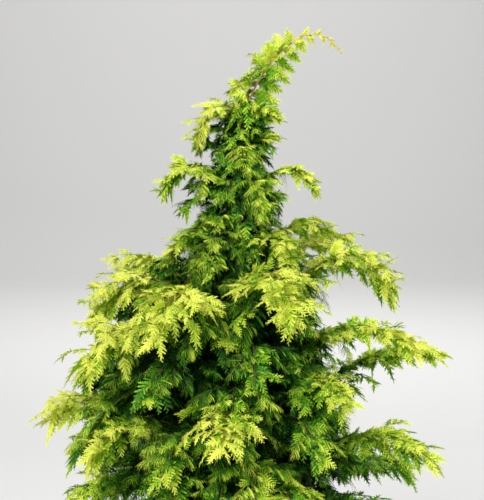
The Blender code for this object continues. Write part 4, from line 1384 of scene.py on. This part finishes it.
# Lighter tips and outer teeth: partly the shoots' own paler young tips and partly painted highlight.
LOBED_TIP_LIGHTER, COMBED_TIP_LIGHTER = 1, 2
SHOOT_OUTLINE = ((0.0, -1.0, 0.0), (0.0, 1.0, 0.0), (0.70, 0.8, -0.01), (1.0, -0.3, 0.0))
FIRST_TOOTH = 0.10
TEETH_SPAN = 0.70
TOOTH_SHORTER = 0.4
TOOTH_FOOT, TOOTH_TIP, TOOTH_ASIDE = 0.85, 0.95, 0.80
TOOTH_ABOVE = 0.003
TOOTH_TIP_HEIGHT = -0.03
LIGHTER_FROM = 0.45
LEAST_SAG = 0.04
COMB_SAG = 0.62
SAG_SPREAD = 0.14
STIFF_FROM = 1
BLADE_BELOW = 0.0005
BLADE_STATIONS = np.array((0.0, 0.16, 0.30, 0.55, 0.72, 1.0))
BLADE_WIDTHS = np.array((0.0, -0.30, 0.33, -0.28, 0.20, 0.0))
BLADE_STRIP = np.array(((0, 1, 2), (2, 1, 3), (2, 3, 4), (4, 3, 5)))
# Painted shade under the shoots: the blade is darker than its frond, most at the foot.
BLADE_SHADES = np.array((-2.3, -1.9, -1.5, -0.9))


def toothed_shape(teeth, tooth_length, half_width, tip_lighter):
    """A flat shoot of unit length: points as (along, across, up), triangles, and for each triangle
    how much lighter it is. Its blade is shaped like a knife's. The three-cornered teeth on each side
    point forward, lie a little lower at their tips, and get shorter towards the shoot's tip."""
    points = [(along, across * half_width, up) for along, across, up in SHOOT_OUTLINE]
    faces = [(0, 3, 2), (0, 2, 1)]
    lighter = [tip_lighter, 0]
    for i in range(2 * teeth):
        sign = 1 if i % 2 else -1
        start = FIRST_TOOTH + TEETH_SPAN * (i / 2) / teeth
        length = tooth_length * (1 - TOOTH_SHORTER * start)
        base = len(points)
        points.append((start, 0.0, TOOTH_ABOVE))
        points.append((start + TOOTH_FOOT * length, 0.0, TOOTH_ABOVE))
        points.append((start + TOOTH_TIP * length, sign * TOOTH_ASIDE * length, TOOTH_TIP_HEIGHT))
        faces.append((base, base + 1, base + 2)[::sign])
        lighter.append(int(start > LIGHTER_FROM))
    return np.array(points), np.array(faces), np.array(lighter)


combed = fronds.comb[on] > 0
shoot_sag = LEAST_SAG + COMB_SAG * (combed & (fronds.pale[on] < STIFF_FROM))
shoot_sag = shoot_sag + chance.uniform(0, SAG_SPREAD, len(on))
lobed_kind = np.searchsorted([row[0] for row in LOBED], shoot_size, side="right") - 1
shape_of = np.where(combed, len(LOBED), lobed_kind)
SHAPES = [toothed_shape(teeth, length, LOBED_HALF_WIDTH, LOBED_TIP_LIGHTER) for _, teeth, length in LOBED]
SHAPES.append(toothed_shape(0, 0.0, COMBED_HALF_WIDTH, COMBED_TIP_LIGHTER))


def leaves_of(chosen):
    """The chosen shoots as one array of points, triangles and colour slots. Each shoot's shape is
    laid along its own bent line: out from its root, and down with the square of the way along."""
    points, faces, slots = [], [], []
    base = 0
    for kind, (shape, triangles, lighter) in enumerate(SHAPES):
        pick = np.flatnonzero(chosen & (shape_of == kind))
        size = shoot_size[pick][:, None, None]
        out = shoot_out[pick][:, None]
        lift = shoot_lift[pick][:, None]
        across = np.cross(lift, out)
        along = shape[None, :, :1]
        bent = out * along - UP * shoot_sag[pick][:, None, None] * along**2
        laid = bent + across * shape[None, :, 1:2] + lift * shape[None, :, 2:]
        points.append((shoot_root[pick][:, None] + laid * size).reshape(-1, 3))
        starts = base + np.arange(len(pick))[:, None, None] * len(shape)
        faces.append((triangles[None] + starts).reshape(-1, 3))
        slots.append(colour_slots(shade[pick][:, None] + lighter[None]).ravel())
        base += len(pick) * len(shape)
    return np.concatenate(points), np.concatenate(faces), np.concatenate(slots)


def blades_of(chosen):
    """The flat blade in which the chosen fronds' shoots are grown together, as points, triangles
    and colour slots: a strip that widens, narrows to the tip and bends with the frond's rib. Its colour
    is painted shade, darker than the frond's shoots and darkest at its foot, so the shoots stand out on it."""
    pick = np.flatnonzero(chosen)
    on = np.repeat(pick, len(BLADE_STATIONS))
    station = np.tile(BLADE_STATIONS, len(pick))
    root, _, side, lift = along_ribs(fronds, on, station, 0.0, np.random.default_rng(0))
    reach = np.minimum(SHOOT_REACH * np.linalg.norm(fronds.run[on], axis=1), LONGEST_SHOOT)
    width = reach * np.tile(BLADE_WIDTHS, len(pick))
    points = root + side * width[:, None] - lift * BLADE_BELOW
    faces = BLADE_STRIP + len(BLADE_STATIONS) * np.arange(len(pick))[:, None, None]
    slots = colour_slots(frond_shade[pick][:, None] + BLADE_SHADES)
    return points, faces.reshape(-1, 3), slots.ravel()


MASS_NODES = [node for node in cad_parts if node.endswith("_foliage")]
group_names = [name for name, _ in GROUPS] + ["trunk", *INNER_GROUPS]
for i, group_name in enumerate(group_names):
    blade_points, blade_faces, blade_slots = blades_of((fronds.group == i) & (fronds.comb == 0))
    leaf_points, leaf_faces, leaf_slots = leaves_of(fronds.group[on] == i)
    leaf_points = np.concatenate([blade_points, leaf_points])
    leaf_faces = np.concatenate([blade_faces, leaf_faces + len(blade_points)])
    leaf_slots = np.concatenate([blade_slots, leaf_slots])
    leaves = new_piece(f"{group_name}_leaves", leaf_points, [leaf_faces], leaf_materials, leaf_slots)
    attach(leaves, "root")
    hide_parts(*[node for node in MASS_NODES if i < len(GROUPS) and group_of(node) == i])


# The twigs are the thin ribs of the branches and of their fronds, each tapering to its tip. Their
# colour is partly their own and partly painted light and shade: a frond's rib is orange where its
# frond is open to the sky, brown in half shade and dark dull brown in painted shade, and a branch is
# dull brown where it is combed or painted darker.
TWIG_RINGS = 5
TWIG_SIDES = 3
TWIG_RADIUS = 0.0004
TWIG_RADIUS_SHARE = 0.0050
TWIG_THINNING = 0.78
RIB_WIDTH = 0.0002
RIB_WIDTH_SHARE = 0.006
RIB_STATIONS = (0, 0.5, 0.95)
RIB_BEND_WIDTH = 0.7
RIB_STRIP = np.array(((0, 1, 3), (0, 3, 2), (2, 3, 4)))
TWIG_COLOURS = (
    ("twig_shaded_dull_brown", (0.075, 0.070, 0.020)),
    ("twig_brown", (0.28, 0.22, 0.05)),
    ("twig_orange", (0.66, 0.42, 0.08)),
)
TWIG_LIGHTS = (0.30, 0.50)
SHADED_DULL_BELOW = -1.0


def twig_skin(sprays):
    """A three-sided tube along each branch's rib, thinner towards its tip."""
    share = np.linspace(0, 1, TWIG_RINGS)
    middle = rib_points(sprays, share[None])
    along = unit(sprays.run[:, None] + 2 * sprays.bend[:, None] * share[None, :, None])
    lift = unit(np.cross(sprays.side[:, None] + 0 * along, along))
    side = np.cross(along, lift)
    length = np.linalg.norm(sprays.run, axis=1)
    radius = (TWIG_RADIUS + TWIG_RADIUS_SHARE * length)[:, None] * (1 - TWIG_THINNING * share)
    angle = np.linspace(0, 2 * math.pi, TWIG_SIDES, endpoint=False)[:, None]
    around = np.cos(angle) * side[:, :, None] + np.sin(angle) * lift[:, :, None]
    points = middle[:, :, None] + radius[..., None, None] * around
    return points.reshape(-1, 3), ring_faces(TWIG_RINGS, TWIG_SIDES, len(length))


def flat_ribs(fronds):
    """A thin strip along each frond's rib that narrows to a point, with a bend in its middle."""
    middle = rib_points(fronds, np.array([RIB_STATIONS]))
    width = RIB_WIDTH + RIB_WIDTH_SHARE * np.linalg.norm(fronds.run, axis=1)
    width = unit(fronds.side) * width[:, None]
    narrow = RIB_BEND_WIDTH * width
    root, bend, tip = (middle[:, i] for i in range(len(RIB_STATIONS)))
    points = np.stack([root - width, root + width, bend - narrow, bend + narrow, tip], axis=1)
    faces = RIB_STRIP + points.shape[1] * np.arange(len(root))[:, None, None]
    return points.reshape(-1, 3), faces.reshape(-1, 3)


twig_materials = [new_material(name, colour, TWIG_ROUGHNESS)[0] for name, colour in TWIG_COLOURS]
twig_points, twig_faces = twig_skin(branches)
# Painted shade: combed branches and those painted darker get the dark dull brown.
outer = ((branches.comb == 0) & (branches.pale > SHADED_DULL_BELOW)).astype(int)
twig_slots = np.concatenate([np.repeat(outer, (TWIG_RINGS - 1) * TWIG_SIDES), outer, outer])
twigs = new_piece("branch_twigs", twig_points, twig_faces, twig_materials[:2], twig_slots, smooth=True)
rib_corners, rib_faces = flat_ribs(fronds)
# Painted light: each rib's colour follows how open its frond is to the sky.
rib_slots = np.repeat(np.searchsorted(TWIG_LIGHTS, frond_light), len(RIB_STRIP))
ribs = new_piece("frond_ribs", rib_corners, [rib_faces], twig_materials, rib_slots)
for piece in (twigs, ribs):
    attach(piece, "root")
